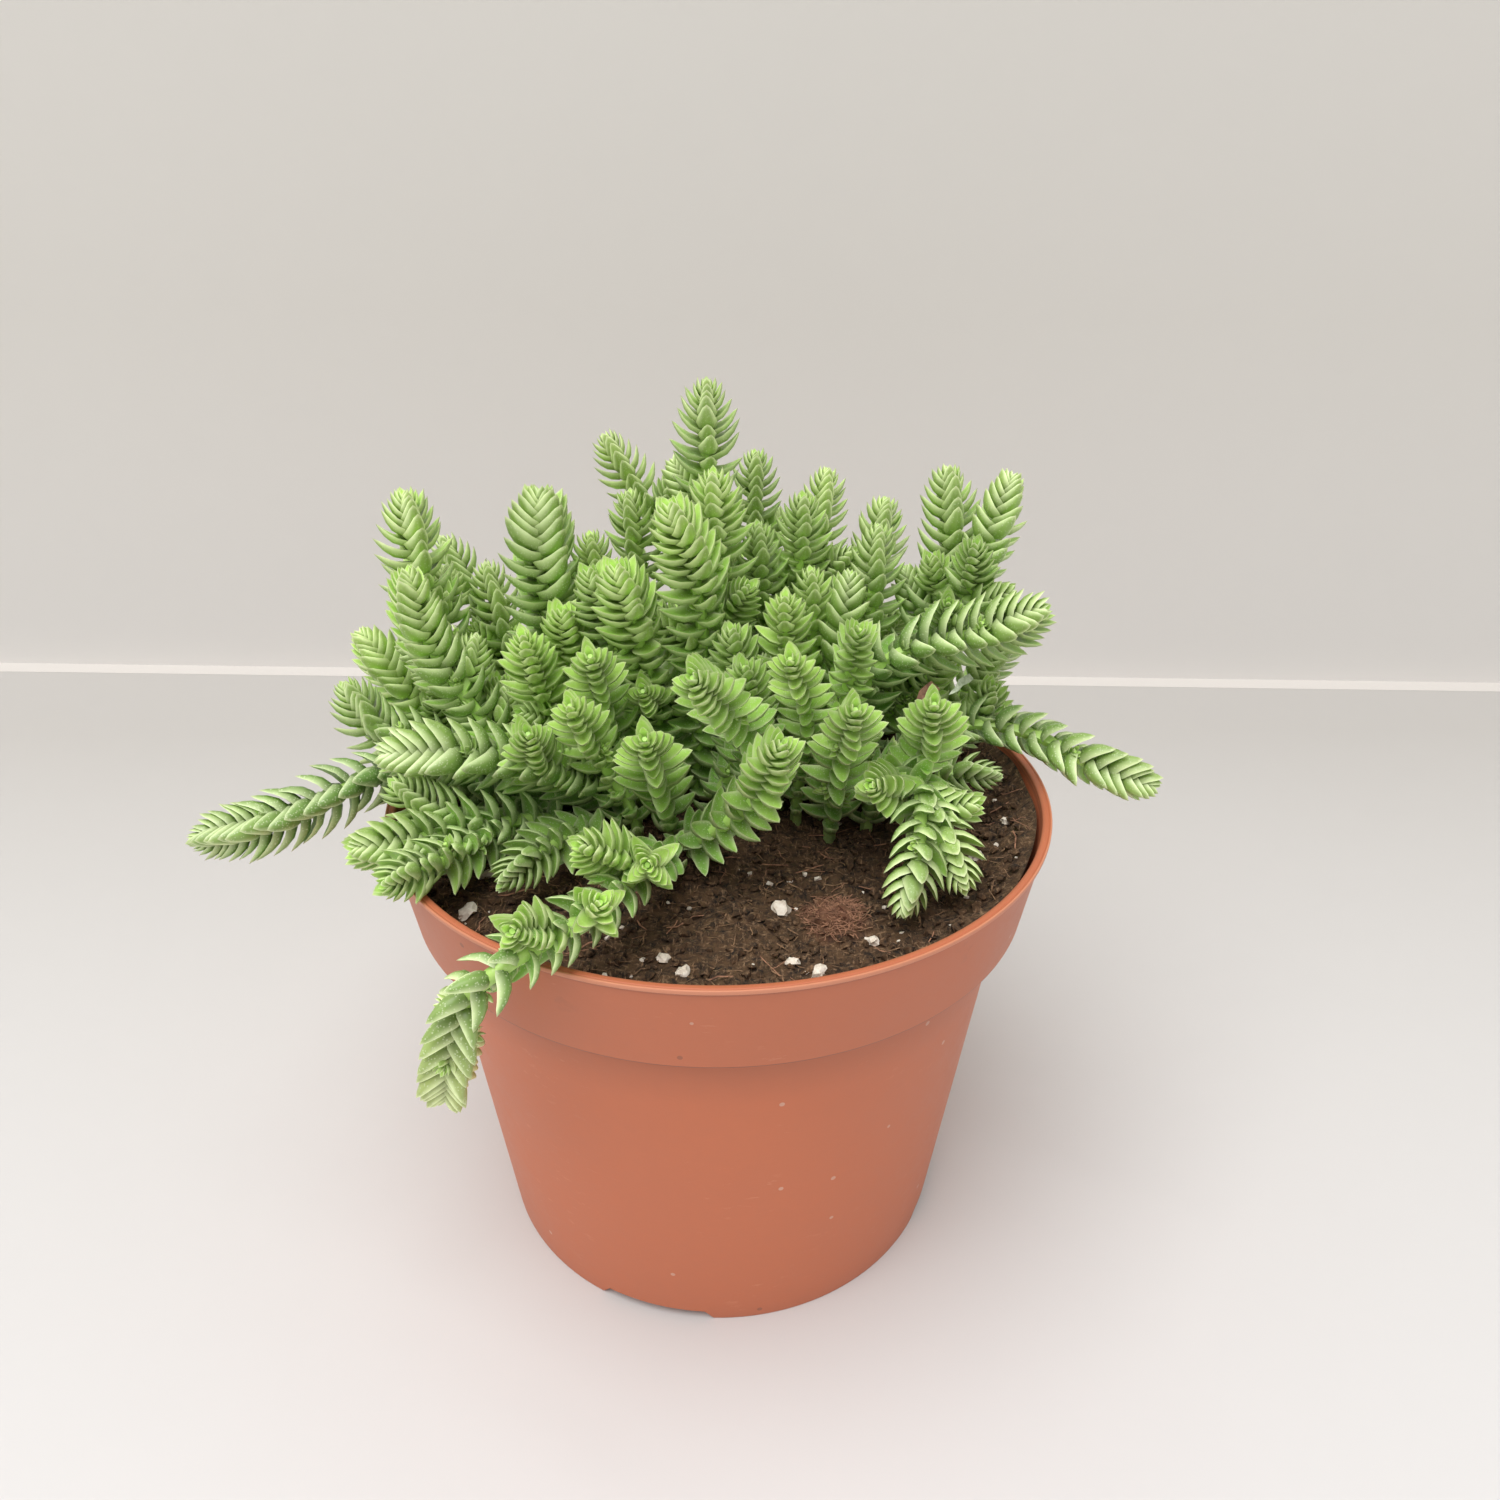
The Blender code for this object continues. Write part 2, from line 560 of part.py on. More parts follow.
def make_stem(stem, shoots, room, material):
    """One stem in one piece with its branches."""
    item = add_object(stem.name, shoot_shape(shoots[0], room), material)
    branches = []
    for number, shoot in enumerate(shoots[1:]):
        branches.append(add_object(f"{stem.name}_branch_{number}", shoot_shape(shoot, room)))
    if branches:
        combine(item, branches, "UNION")
    return item


def main():
    """Build every piece."""
    clear_scene()
    chance = random.Random(SEED)
    make_pot(finish("terracotta_plastic", POT_COLOUR, 0.5))
    make_soil(finish("peat_soil", SOIL_COLOUR, 0.95), STEMS)
    leaf_green = finish("leaf_green", STEM_COLOUR, 0.45)
    shoots_by_stem = [shoots_of(stem, chance) for stem in STEMS]
    room = Room(shoots_by_stem)
    for stem, shoots in zip(STEMS, shoots_by_stem):
        make_stem(stem, shoots, room, leaf_green)


main()
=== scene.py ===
"""The looks of a potted crassula: leafy stems in peat soil, in a terracotta-coloured plastic pot.

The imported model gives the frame. The pot, the soil and every leafy stem are replaced here by
finer pieces of the same form. Sizes are in millimetres and become metres where meshes are made.
"""

import logging
import math
import random
from collections.abc import Callable, Iterable, Sequence
from dataclasses import dataclass, field
from enum import Enum
from types import TracebackType

import bmesh
import bpy
from mathutils import Euler, Matrix, Vector, kdtree


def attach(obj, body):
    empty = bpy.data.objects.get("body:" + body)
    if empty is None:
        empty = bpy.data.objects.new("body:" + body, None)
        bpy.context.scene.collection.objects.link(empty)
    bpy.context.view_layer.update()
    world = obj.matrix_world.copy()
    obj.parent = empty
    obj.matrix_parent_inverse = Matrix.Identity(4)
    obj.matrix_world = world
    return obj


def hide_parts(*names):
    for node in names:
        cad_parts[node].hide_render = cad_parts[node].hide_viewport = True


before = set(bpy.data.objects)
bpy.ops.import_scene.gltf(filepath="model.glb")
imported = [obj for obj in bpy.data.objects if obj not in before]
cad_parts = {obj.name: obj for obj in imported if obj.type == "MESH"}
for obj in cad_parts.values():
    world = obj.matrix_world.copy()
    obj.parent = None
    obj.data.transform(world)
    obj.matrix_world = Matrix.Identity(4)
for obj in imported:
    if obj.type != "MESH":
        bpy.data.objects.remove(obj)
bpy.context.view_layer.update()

MM = 0.001
SEED = 7
BODY = "root"
LOG = logging.getLogger("potted_crassula")

Spot = tuple[float, float]
Point = tuple[float, float, float]
Colour = tuple[float, float, float]
Socket = bpy.types.NodeSocket


class Slot(str, Enum):
    """Names of the pieces' material slots."""

    POT = "pot"
    SOIL = "soil"
    LEAF = "leaf"


class LeafAge(Enum):
    """The three forms of leaf, from a shoot's tip down."""

    BUD = "bud"
    YOUNG = "young"
    GROWN = "grown"


# Modelling by hand


def deselect_all() -> None:
    """Leave no object selected."""
    bpy.ops.object.select_all(action="DESELECT")


def select_only(items: Iterable[bpy.types.Object], active: bpy.types.Object) -> None:
    """Select these objects and no others.

    Args:
        items: The objects to select.
        active: The one that the next operator works on.
    """
    deselect_all()
    for item in items:
        item.select_set(True)
    active.select_set(True)
    bpy.context.view_layer.objects.active = active


class Edit:
    """One mesh open in edit mode, with the operators that the pieces here need."""

    def __init__(self, item: bpy.types.Object) -> None:
        """Keep the object that is to be edited."""
        self.item = item

    def __enter__(self) -> "Edit":
        """Open the mesh.

        Returns:
            The session itself.
        """
        select_only([self.item], self.item)
        bpy.ops.object.mode_set(mode="EDIT")
        bpy.ops.mesh.select_mode(type="VERT")
        return self

    def __exit__(
        self,
        kind: type[BaseException] | None,
        error: BaseException | None,
        trace: TracebackType | None,
    ) -> None:
        """Close the mesh."""
        bpy.ops.object.mode_set(mode="OBJECT")

    def pick(self, wanted: Callable[[Vector], bool]) -> None:
        """Select the vertices that a test on their place wants.

        Args:
            wanted: Says whether a vertex at this place is selected.
        """
        bpy.ops.mesh.select_all(action="DESELECT")
        shape = bmesh.from_edit_mesh(self.item.data)
        for vertex in shape.verts:
            vertex.select_set(wanted(vertex.co))
        shape.select_flush(True)
        bmesh.update_edit_mesh(self.item.data)

    def pick_all(self) -> None:
        """Select the whole mesh."""
        bpy.ops.mesh.select_all(action="SELECT")

    def move(self, by: Point) -> None:
        """Move what is selected."""
        bpy.ops.transform.translate(value=by)

    def scale(self, factors: Point, centre: Point) -> None:
        """Scale what is selected about a point."""
        bpy.ops.transform.resize(value=factors, center_override=centre)

    def extrude_face(self, by: Point) -> None:
        """Extrude the selected face."""
        bpy.ops.mesh.extrude_region_move(TRANSFORM_OT_translate={"value": by})

    def extrude_ring(self, radius: float, to_radius: float, rise: float, height: float) -> None:
        """Extrude a selected ring of edges round the Z axis to another radius and height.

        Args:
            radius: The ring's radius now.
            to_radius: The new ring's radius.
            rise: How far the new ring is above this one.
            height: The new ring's height.
        """
        bpy.ops.mesh.extrude_edges_move(TRANSFORM_OT_translate={"value": (0.0, 0.0, rise)})
        if to_radius != radius:
            share = to_radius / radius
            self.scale((share, share, 1.0), (0.0, 0.0, height))

    def close_ring(self) -> None:
        """Merge a selected ring into one point."""
        bpy.ops.mesh.merge(type="CENTER")

    def face_outwards(self) -> None:
        """Turn every face outwards."""
        self.pick_all()
        bpy.ops.mesh.normals_make_consistent(inside=False)


def apply_modifier(item: bpy.types.Object, kind: str, **settings: object) -> None:
    """Add a modifier, set it and apply it.

    Args:
        item: The object that it changes.
        kind: The modifier's type.
        **settings: Its values.
    """
    select_only([item], item)
    modifier = item.modifiers.new(kind.lower(), kind)
    for name, value in settings.items():
        setattr(modifier, name, value)
    bpy.ops.object.modifier_apply(modifier=modifier.name)


def cut(item: bpy.types.Object, tools: Sequence[bpy.types.Object]) -> None:
    """Cut tools out of an object and remove them.

    Args:
        item: The object that is cut.
        tools: The shapes to take away.
    """
    for tool in tools:
        apply_modifier(item, "BOOLEAN", operation="DIFFERENCE", object=tool, solver="EXACT")
        bpy.data.objects.remove(tool)


def copy_at(pattern: bpy.types.Object, place: Matrix) -> bpy.types.Object:
    """Copy a pattern's mesh, with the place in the mesh.

    Args:
        pattern: The shape that repeats.
        place: Where the copy goes, in metres.

    Returns:
        The copy, which has a mesh of its own.
    """
    mesh = pattern.data.copy()
    mesh.transform(place)
    item = bpy.data.objects.new(pattern.name + "_copy", mesh)
    bpy.context.scene.collection.objects.link(item)
    return item


def join(items: Sequence[bpy.types.Object], name: str) -> bpy.types.Object:
    """Join objects into one.

    Args:
        items: What is joined, the first one last to go.
        name: The name of the joined piece.

    Returns:
        The joined object.
    """
    select_only(items, items[0])
    bpy.ops.object.join()
    items[0].name = name
    items[0].data.name = name
    return items[0]


def turned(name: str, profile: Sequence[tuple[float, float]], sides: int) -> bpy.types.Object:
    """A closed shape turned about the Z axis, from a ring that is extruded point by point.

    Args:
        name: The object's name.
        profile: Radius and height of each ring in millimetres. The ends close on the axis.
        sides: Points round each ring.

    Returns:
        The turned object.
    """
    radius, height = profile[0]
    deselect_all()
    bpy.ops.mesh.primitive_circle_add(vertices=sides, radius=radius * MM, location=(0, 0, 0))
    item = bpy.context.object
    item.name = name
    with Edit(item) as edit:
        edit.pick_all()
        edit.move((0.0, 0.0, height * MM))
        bpy.ops.mesh.edge_face_add()
        bpy.ops.mesh.poke()
        edit.pick(lambda place: math.hypot(place.x, place.y) > radius * MM / 2)
        bpy.ops.mesh.select_mode(type="EDGE")
        for next_radius, next_height in profile[1:]:
            rise = (next_height - height) * MM
            edit.extrude_ring(radius, next_radius, rise, next_height * MM)
            radius, height = next_radius, next_height
        bpy.ops.mesh.edge_face_add()
        bpy.ops.mesh.poke()
        bpy.ops.mesh.select_mode(type="VERT")
        edit.face_outwards()
    return item


def rounded(corners: Sequence[tuple[float, float]], radius: float, steps: int) -> list[tuple[float, float]]:
    """Round the corners of an open profile.

    Args:
        corners: Its points as radius and height.
        radius: How far from a corner the rounding starts, at most.
        steps: Faces across each rounding.

    Returns:
        The profile with each inner corner made a short curve.
    """
    points = [Vector(corner) for corner in corners]
    curve = [corners[0]]
    for before, corner, after in zip(points, points[1:], points[2:]):
        back, ahead = before - corner, after - corner
        if math.pi - back.angle(ahead) < math.radians(4.0):
            curve.append(tuple(corner))
            continue
        reach = min(radius, 0.45 * back.length, 0.45 * ahead.length)
        start, end = corner + back.normalized() * reach, corner + ahead.normalized() * reach
        for step in range(steps + 1):
            t = step / steps
            curve.append(tuple(start * (1 - t) ** 2 + corner * (2 * t * (1 - t)) + end * t**2))
    curve.append(corners[-1])
    return curve


def smooth_by_angle(item: bpy.types.Object, degrees: float) -> None:
    """Shade an object smooth, but for edges sharper than an angle."""
    select_only([item], item)
    bpy.ops.object.shade_smooth_by_angle(angle=math.radians(degrees))


def hand_over(item: bpy.types.Object, slot: Slot, nodes: Sequence[str], finish: bpy.types.Material) -> None:
    """Dress a finished piece and hand it to the frame.

    Args:
        item: The piece.
        slot: The slot that its finish belongs to; not used.
        nodes: The CAD nodes that it stands for.
        finish: Its material.
    """
    item.data.materials.clear()
    item.data.materials.append(finish)
    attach(item, BODY)
    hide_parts(*nodes)
    LOG.info("%s: %d faces", item.name, len(item.data.polygons))


# Node graphs


class Graph:
    """A node tree with short calls for the nodes that the finishes use."""

    def __init__(self, tree: bpy.types.NodeTree) -> None:
        """Keep the tree that is wired."""
        self.tree = tree

    def node(self, kind: str, **settings: object) -> bpy.types.Node:
        """Add a node.

        Args:
            kind: The node's type.
            **settings: Properties of the node.

        Returns:
            The new node.
        """
        made = self.tree.nodes.new(kind)
        for name, value in settings.items():
            setattr(made, name, value)
        return made

    def feed(self, socket: Socket, value: object) -> None:
        """Link another socket into this one, or set a plain value on it.

        Args:
            socket: The input that is fed.
            value: A socket, a colour, a vector or a number.
        """
        if isinstance(value, bpy.types.NodeSocket):
            self.tree.links.new(value, socket)
        elif isinstance(value, tuple) and socket.type == "RGBA":
            socket.default_value = (*value[:3], 1.0)
        else:
            socket.default_value = value

    def math(self, operation: str, first: object, second: object = 0.0, clamp: bool = False) -> Socket:
        """Combine two numbers.

        Args:
            operation: The operation's name.
            first: The first number or socket.
            second: The second number or socket.
            clamp: Whether the result is held between 0 and 1.

        Returns:
            The result.
        """
        made = self.node("ShaderNodeMath", operation=operation, use_clamp=clamp)
        self.feed(made.inputs[0], first)
        self.feed(made.inputs[1], second)
        return made.outputs[0]

    def mix(self, share: object, first: object, second: object, blend: str = "MIX") -> Socket:
        """Mix two colours by a share.

        Args:
            share: The second colour's share.
            first: The first colour.
            second: The second colour.
            blend: The way to mix.

        Returns:
            The mixed colour.
        """
        made = self.node("ShaderNodeMix", data_type="RGBA", blend_type=blend)
        self.feed(made.inputs[0], share)
        self.feed(made.inputs[6], first)
        self.feed(made.inputs[7], second)
        return made.outputs[2]

    def span(self, value: object, low: float, high: float, to_low: float, to_high: float) -> Socket:
        """Carry a number from one range to another, held inside it.

        Args:
            value: The number.
            low: Where its own range begins.
            high: Where its own range ends.
            to_low: What the beginning becomes.
            to_high: What the end becomes.

        Returns:
            The new number.
        """
        made = self.node("ShaderNodeMapRange", clamp=True)
        for socket, given in zip(made.inputs, (value, low, high, to_low, to_high)):
            self.feed(socket, given)
        return made.outputs[0]

    def noise(self, place: Socket, scale: object, detail: float = 3.0, roughness: float = 0.55) -> Socket:
        """Soft noise between 0 and 1.

        Args:
            place: The coordinates.
            scale: How many clouds a metre.
            detail: How many finer layers.
            roughness: The strength of the finer layers.

        Returns:
            The noise.
        """
        made = self.node("ShaderNodeTexNoise")
        given = {"Vector": place, "Scale": scale, "Detail": detail, "Roughness": roughness}
        for name, value in given.items():
            self.feed(made.inputs[name], value)
        return made.outputs[0]

    def stretched(self, place: Socket, factors: Point) -> Socket:
        """Places scaled by a factor for each axis.

        Args:
            place: The coordinates.
            factors: The factors.

        Returns:
            The scaled coordinates.
        """
        made = self.node("ShaderNodeMapping")
        self.feed(made.inputs["Vector"], place)
        made.inputs["Scale"].default_value = factors
        return made.outputs[0]

    def parts(self, vector: Socket) -> tuple[Socket, Socket, Socket]:
        """The three numbers of a vector.

        Args:
            vector: The vector.

        Returns:
            Its numbers.
        """
        made = self.node("ShaderNodeSeparateXYZ")
        self.feed(made.inputs[0], vector)
        return made.outputs[0], made.outputs[1], made.outputs[2]

    def attribute(self, name: str) -> Socket:
        """A vector attribute of the mesh."""
        return self.node("ShaderNodeAttribute", attribute_name=name).outputs["Vector"]

    def place(self) -> Socket:
        """Object coordinates, in metres."""
        return self.node("ShaderNodeTexCoord").outputs["Object"]

    def bump(self, height: Socket, strength: float, depth: float) -> Socket:
        """A normal from a height.

        Args:
            height: The height, between 0 and 1.
            strength: The share of the relief that shows.
            depth: The relief's depth in millimetres.

        Returns:
            The normal.
        """
        made = self.node("ShaderNodeBump")
        made.inputs["Strength"].default_value = strength
        made.inputs["Distance"].default_value = depth * MM
        self.feed(made.inputs["Height"], height)
        return made.outputs[0]

    def group(self, shared: bpy.types.NodeTree, *values: object) -> bpy.types.Node:
        """Place a shared effect and give its inputs their values, in their order.

        Args:
            shared: The effect's node group.
            *values: One value for each input.

        Returns:
            The placed group.
        """
        made = self.node("ShaderNodeGroup", node_tree=shared)
        for socket, given in zip(made.inputs, values):
            self.feed(socket, given)
        return made


def new_group(
    name: str, inputs: Sequence[tuple[str, str]], outputs: Sequence[tuple[str, str]]
) -> tuple[Graph, bpy.types.Node, bpy.types.Node]:
    """An empty node group with its sockets.

    Args:
        name: The group's name.
        inputs: Name and kind of each input, the kind as Float, Color or Vector.
        outputs: The same for each output.

    Returns:
        Its graph, its input node and its output node.
    """
    tree = bpy.data.node_groups.new(name, "ShaderNodeTree")
    for direction, sockets in (("INPUT", inputs), ("OUTPUT", outputs)):
        for socket, kind in sockets:
            tree.interface.new_socket(socket, in_out=direction, socket_type="NodeSocket" + kind)
    graph = Graph(tree)
    return graph, graph.node("NodeGroupInput"), graph.node("NodeGroupOutput")


@dataclass
class SharedEffects:
    """The node groups that more than one finish uses."""

    mottling: bpy.types.NodeTree = field(init=False)
    specks: bpy.types.NodeTree = field(init=False)

    def __post_init__(self) -> None:
        """Build each group once."""
        self.mottling = self._mottling()
        self.specks = self._specks()

    def mottled(self, graph: Graph, colour: object, broad: float, fine: float, amount: float) -> Socket:
        """The colour with cloudiness of two scales."""
        return graph.group(self.mottling, colour, broad, fine, amount).outputs["Color"]

    def dots(self, graph: Graph, scale: float, size: float, share: float) -> Socket:
        """The mask of small dots that lie in a share of the cells of one scale."""
        return graph.group(self.specks, scale, size, share).outputs["Mask"]

    def _mottling(self) -> bpy.types.NodeTree:
        """Broad and fine cloudiness that darkens and lightens a colour.

        Returns:
            The group, with Color and Value outputs.
        """
        graph, given, out = new_group(
            "mottling",
            (("Color", "Color"), ("Broad Scale", "Float"), ("Fine Scale", "Float"), ("Amount", "Float")),
            (("Color", "Color"), ("Value", "Float")),
        )
        place = graph.place()
        broad = graph.noise(place, given.outputs["Broad Scale"], 2.0)
        fine = graph.noise(place, given.outputs["Fine Scale"], 4.0, 0.6)
        both = graph.math("ADD", graph.math("MULTIPLY", broad, 0.6), graph.math("MULTIPLY", fine, 0.4))
        centred = graph.math("SUBTRACT", both, 0.5)
        change = graph.math("MULTIPLY_ADD", centred, given.outputs["Amount"])
        change.node.inputs[2].default_value = 1.0
        shade = graph.node("ShaderNodeVectorMath", operation="SCALE")
        graph.feed(shade.inputs[0], given.outputs["Color"])
        graph.feed(shade.inputs["Scale"], change)
        graph.feed(out.inputs["Color"], shade.outputs[0])
        graph.feed(out.inputs["Value"], both)
        return graph.tree

    def _specks(self) -> bpy.types.NodeTree:
        """Small scattered dots.

        Returns:
            The group, with a Mask output that is 1 on a dot.
        """
        graph, given, out = new_group(
            "specks",
            (("Scale", "Float"), ("Size", "Float"), ("Share", "Float")),
            (("Mask", "Float"),),
        )
        cells = graph.node("ShaderNodeTexVoronoi")
        graph.feed(cells.inputs["Vector"], graph.place())
        graph.feed(cells.inputs["Scale"], given.outputs["Scale"])
        chosen, _, _ = graph.parts(cells.outputs["Color"])
        near = graph.math("LESS_THAN", cells.outputs["Distance"], given.outputs["Size"])
        kept = graph.math("LESS_THAN", chosen, given.outputs["Share"])
        graph.feed(out.inputs["Mask"], graph.math("MULTIPLY", near, kept))
        return graph.tree


def new_finish(name: str, roughness: float) -> tuple[bpy.types.Material, Graph, bpy.types.Node]:
    """A material with its graph and shader.

    Args:
        name: The material's name.
        roughness: The shader's own roughness.

    Returns:
        The material, its graph and its Principled shader.
    """
    material = bpy.data.materials.new(name)
    material.use_nodes = True
    shader = material.node_tree.nodes["Principled BSDF"]
    shader.inputs["Roughness"].default_value = roughness
    return material, Graph(material.node_tree), shader


# Finishes


@dataclass(frozen=True)
class LeafFinish:
    """Waxy green leaves: yellow-green and young at the tips, darker below, with pale margins.
    Painted highlights lie along the margins and keels, and painted shade darkens the lower sides,
    the roots and shaded shoots.

    Each kind of speck is a scale, a speck's size in its cell, and the share of cells that hold one.
    """

    effects: SharedEffects
    young: Colour = (0.535, 0.790, 0.190)
    grown: Colour = (0.425, 0.715, 0.135)
    old: Colour = (0.285, 0.555, 0.105)
    bark: Colour = (0.260, 0.250, 0.110)
    # Pale margin colour, partly the margins' own and partly a painted highlight, also used on the keels
    margin: Colour = (0.840, 0.940, 0.540)
    tip: Colour = (0.740, 0.770, 0.430)
    speck: Colour = (0.800, 0.880, 0.580)
    pale: Colour = (0.760, 0.840, 0.290)
    pale_share: float = 0.80
    pale_dots: float = 0.12
    margin_and_highlight_share: float = 0.88
    keel_highlight_share: float = 0.22
    specks: tuple[tuple[float, float, float], ...] = ((2600.0, 0.32, 0.45), (1700.0, 0.24, 0.50))
    roughness: tuple[float, float] = (0.30, 0.46)
    wax_scale: float = 700.0
    pore_scale: float = 1700.0
    pore_depth: float = 0.09

    def make(self) -> bpy.types.Material:
        """Build the material.

        Returns:
            The leaf material, which reads the mesh attributes leaf_form, leaf_life and leaf_pallor.
        """
        material, graph, shader = new_finish("waxy_leaf", 0.40)
        along, margin, under = graph.parts(graph.attribute("leaf_form"))
        age, tone_and_shade, woody = graph.parts(graph.attribute("leaf_life"))
        pallor = graph.node("ShaderNodeAttribute", attribute_name="leaf_pallor").outputs["Fac"]
        colour = graph.mix(graph.span(age, 0.0, 0.45, 0.0, 1.0), self.young, self.grown)
        colour = graph.mix(graph.span(age, 0.4, 1.0, 0.0, 1.0), colour, self.old)
        colour = graph.mix(graph.math("MULTIPLY", pallor, self.pale_share), colour, self.pale)
        colour = self.effects.mottled(graph, colour, 90.0, 1400.0, 0.55)
        # Pale margins, partly their own colour and partly a painted highlight, and a painted highlight along
        # the keel
        edge = graph.math("MULTIPLY", graph.math("POWER", margin, 3.0), self.margin_and_highlight_share)
        keel_highlight = graph.math("MULTIPLY", graph.math("POWER", under, 9.0), self.keel_highlight_share)
        colour = graph.mix(graph.math("MAXIMUM", edge, keel_highlight), colour, self.margin)
        shade = graph.node("ShaderNodeHueSaturation")
        graph.feed(shade.inputs["Hue"], graph.span(tone_and_shade, -0.5, 1.0, 0.507, 0.491))
        # Painted shade: the lower side darker than the upper, and the root darker, partly its own deeper
        # green and partly painted shade where leaves crowd
        painted_side_shade = graph.span(under, 0.10, 0.80, 1.14, 0.66)
        root_tint_and_shade = graph.span(along, 0.0, 0.55, 0.60, 1.04)
        # Painted shade: shaded shoots have a tone below 0 and come out darker
        by_tone_and_shade = graph.span(tone_and_shade, -1.0, 1.0, 0.54, 1.14)
        brightness = graph.math("MULTIPLY", graph.math("MULTIPLY", by_tone_and_shade, painted_side_shade), root_tint_and_shade)
        graph.feed(shade.inputs["Value"], brightness)
        graph.feed(shade.inputs["Color"], colour)
        colour = shade.outputs[0]
        colour = graph.mix(graph.span(along, 0.86, 1.0, 0.0, 0.50), colour, self.tip)
        specks = graph.math("MAXIMUM", *(self.effects.dots(graph, *sizes) for sizes in self.specks))
        dotted = graph.span(age, 0.05, 0.5, 0.14, 0.44)
        dotted = graph.math("ADD", dotted, graph.math("MULTIPLY", pallor, self.pale_dots))
        colour = graph.mix(graph.math("MULTIPLY", specks, dotted), colour, self.speck)
        colour = graph.mix(woody, colour, self.bark)
        graph.feed(shader.inputs["Base Color"], colour)
        dull = graph.noise(graph.place(), self.wax_scale, 2.0)
        graph.feed(shader.inputs["Roughness"], graph.span(dull, 0.3, 0.7, *self.roughness))
        pores = graph.noise(graph.place(), self.pore_scale)
        graph.feed(shader.inputs["Normal"], graph.bump(pores, 0.5, self.pore_depth))
        return material


@dataclass(frozen=True)
class PotFinish:
    """Terracotta-coloured moulded plastic, satin, with dust, scuffs and soil smears near the lip,
    with painted shade below the collar's step, over the collar and under the lip, and a painted
    highlight on the lip's outer edge.

    Each band of painted shade is the height where it begins, the height where it ends, and its share there.
    The mottle is a broad scale, a fine scale and an amount, and the dots are as a leaf's specks.
    """

    effects: SharedEffects
    plastic: Colour = (0.575, 0.163, 0.072)
    # Rubbed plastic of the scuffs, and also the painted highlight on the lip's outer edge
    wear_and_highlight: Colour = (0.740, 0.330, 0.200)
    dust: Colour = (0.700, 0.480, 0.380)
    # Colour of dark specks and soil smears, and of the painted shade under the collar and lip
    smear_and_shade: Colour = (0.230, 0.085, 0.050)
    dirt_from_mm: float = 70.0
    dirt_to_mm: float = 90.0
    # Painted shade over the collar and lip, above the step
    collar_painted_shade: float = 0.12
    # Painted shade: soft below the collar's step, a crisp line right under it, and a line under the lip
    painted_shade_bands: tuple[Point, ...] = ((60.0, 72.2, 0.30), (71.2, 72.7, 0.85), (87.7, 88.75, 0.60))
    painted_shade_edge_mm: float = 0.3
    mottle: tuple[float, float, float] = (28.0, 420.0, 0.20)
    light_dots: tuple[float, float, float] = (210.0, 0.10, 0.14)
    dark_dots: tuple[float, float, float] = (150.0, 0.075, 0.09)
    dotted: float = 0.55
    scuffed: float = 0.34
    smeared: float = 0.35
    lip_share: float = 0.55
    lip_top_mm: float = 88.9
    lip_highlight_mm: float = 59.72
    lip_inside_mm: tuple[float, float] = (59.0, 58.3)

    def make(self) -> bpy.types.Material:
        """Build the material.

        Returns:
            The pot's material.
        """
        material, graph, shader = new_finish("terracotta_plastic", 0.45)
        mottled = graph.group(self.effects.mottling, self.plastic, *self.mottle)
        place = graph.place()
        colour = mottled.outputs["Color"]
        scuffs = graph.noise(graph.stretched(place, (1.0, 1.0, 3.5)), 260.0, 5.0, 0.7)
        patches = graph.noise(place, 42.0, 2.0)
        rubbed = graph.span(patches, 0.52, 0.66, 0.0, self.scuffed)
        rubbed = graph.math("MULTIPLY", graph.span(scuffs, 0.60, 0.68, 0.0, 1.0), rubbed)
        colour = graph.mix(rubbed, colour, self.wear_and_highlight)
        for paint, sizes in ((self.dust, self.light_dots), (self.smear_and_shade, self.dark_dots)):
            dots = self.effects.dots(graph, *sizes)
            colour = graph.mix(graph.math("MULTIPLY", dots, self.dotted), colour, paint)
        _, _, height = graph.parts(place)
        near_lip = graph.span(height, self.dirt_from_mm * MM, self.dirt_to_mm * MM, 0.0, 1.0)
        cloud = graph.span(graph.noise(place, 120.0, 5.0), 0.58, 0.70, 0.0, self.smeared)
        dirt_and_shade = graph.math("MULTIPLY", cloud, near_lip)
        # Painted shade: everything above the collar's step a little darker
        collar = graph.math("GREATER_THAN", height, self.painted_shade_bands[1][1] * MM)
        dull = graph.math("MULTIPLY", collar, self.collar_painted_shade)
        dirt_and_shade = graph.math("MAXIMUM", dirt_and_shade, dull)
        # Painted shade in bands below the collar's step and under the lip
        for low, high, share in self.painted_shade_bands:
            up_to = graph.span(height, low * MM, (high - self.painted_shade_edge_mm) * MM, 0.0, share)
            below = graph.math("LESS_THAN", height, high * MM)
            dirt_and_shade = graph.math("MAXIMUM", dirt_and_shade, graph.math("MULTIPLY", up_to, below))
        from_axis = graph.node("ShaderNodeVectorMath", operation="LENGTH")
        graph.feed(from_axis.inputs[0], graph.stretched(place, (1.0, 1.0, 0.0)))
        radius = from_axis.outputs["Value"]
        # The inner part of the lip's top is darker
        on_top = graph.math("GREATER_THAN", height, self.lip_top_mm * MM)
        near, far = self.lip_inside_mm
        inside = graph.span(radius, far * MM, near * MM, self.lip_share, 0.0)
        dirt_and_shade = graph.math("MAXIMUM", dirt_and_shade, graph.math("MULTIPLY", inside, on_top))
        # Soil smears near the lip, painted shade below the step, over the collar and under the lip, and the
        # darker inner lip top
        colour = graph.mix(dirt_and_shade, colour, self.smear_and_shade)
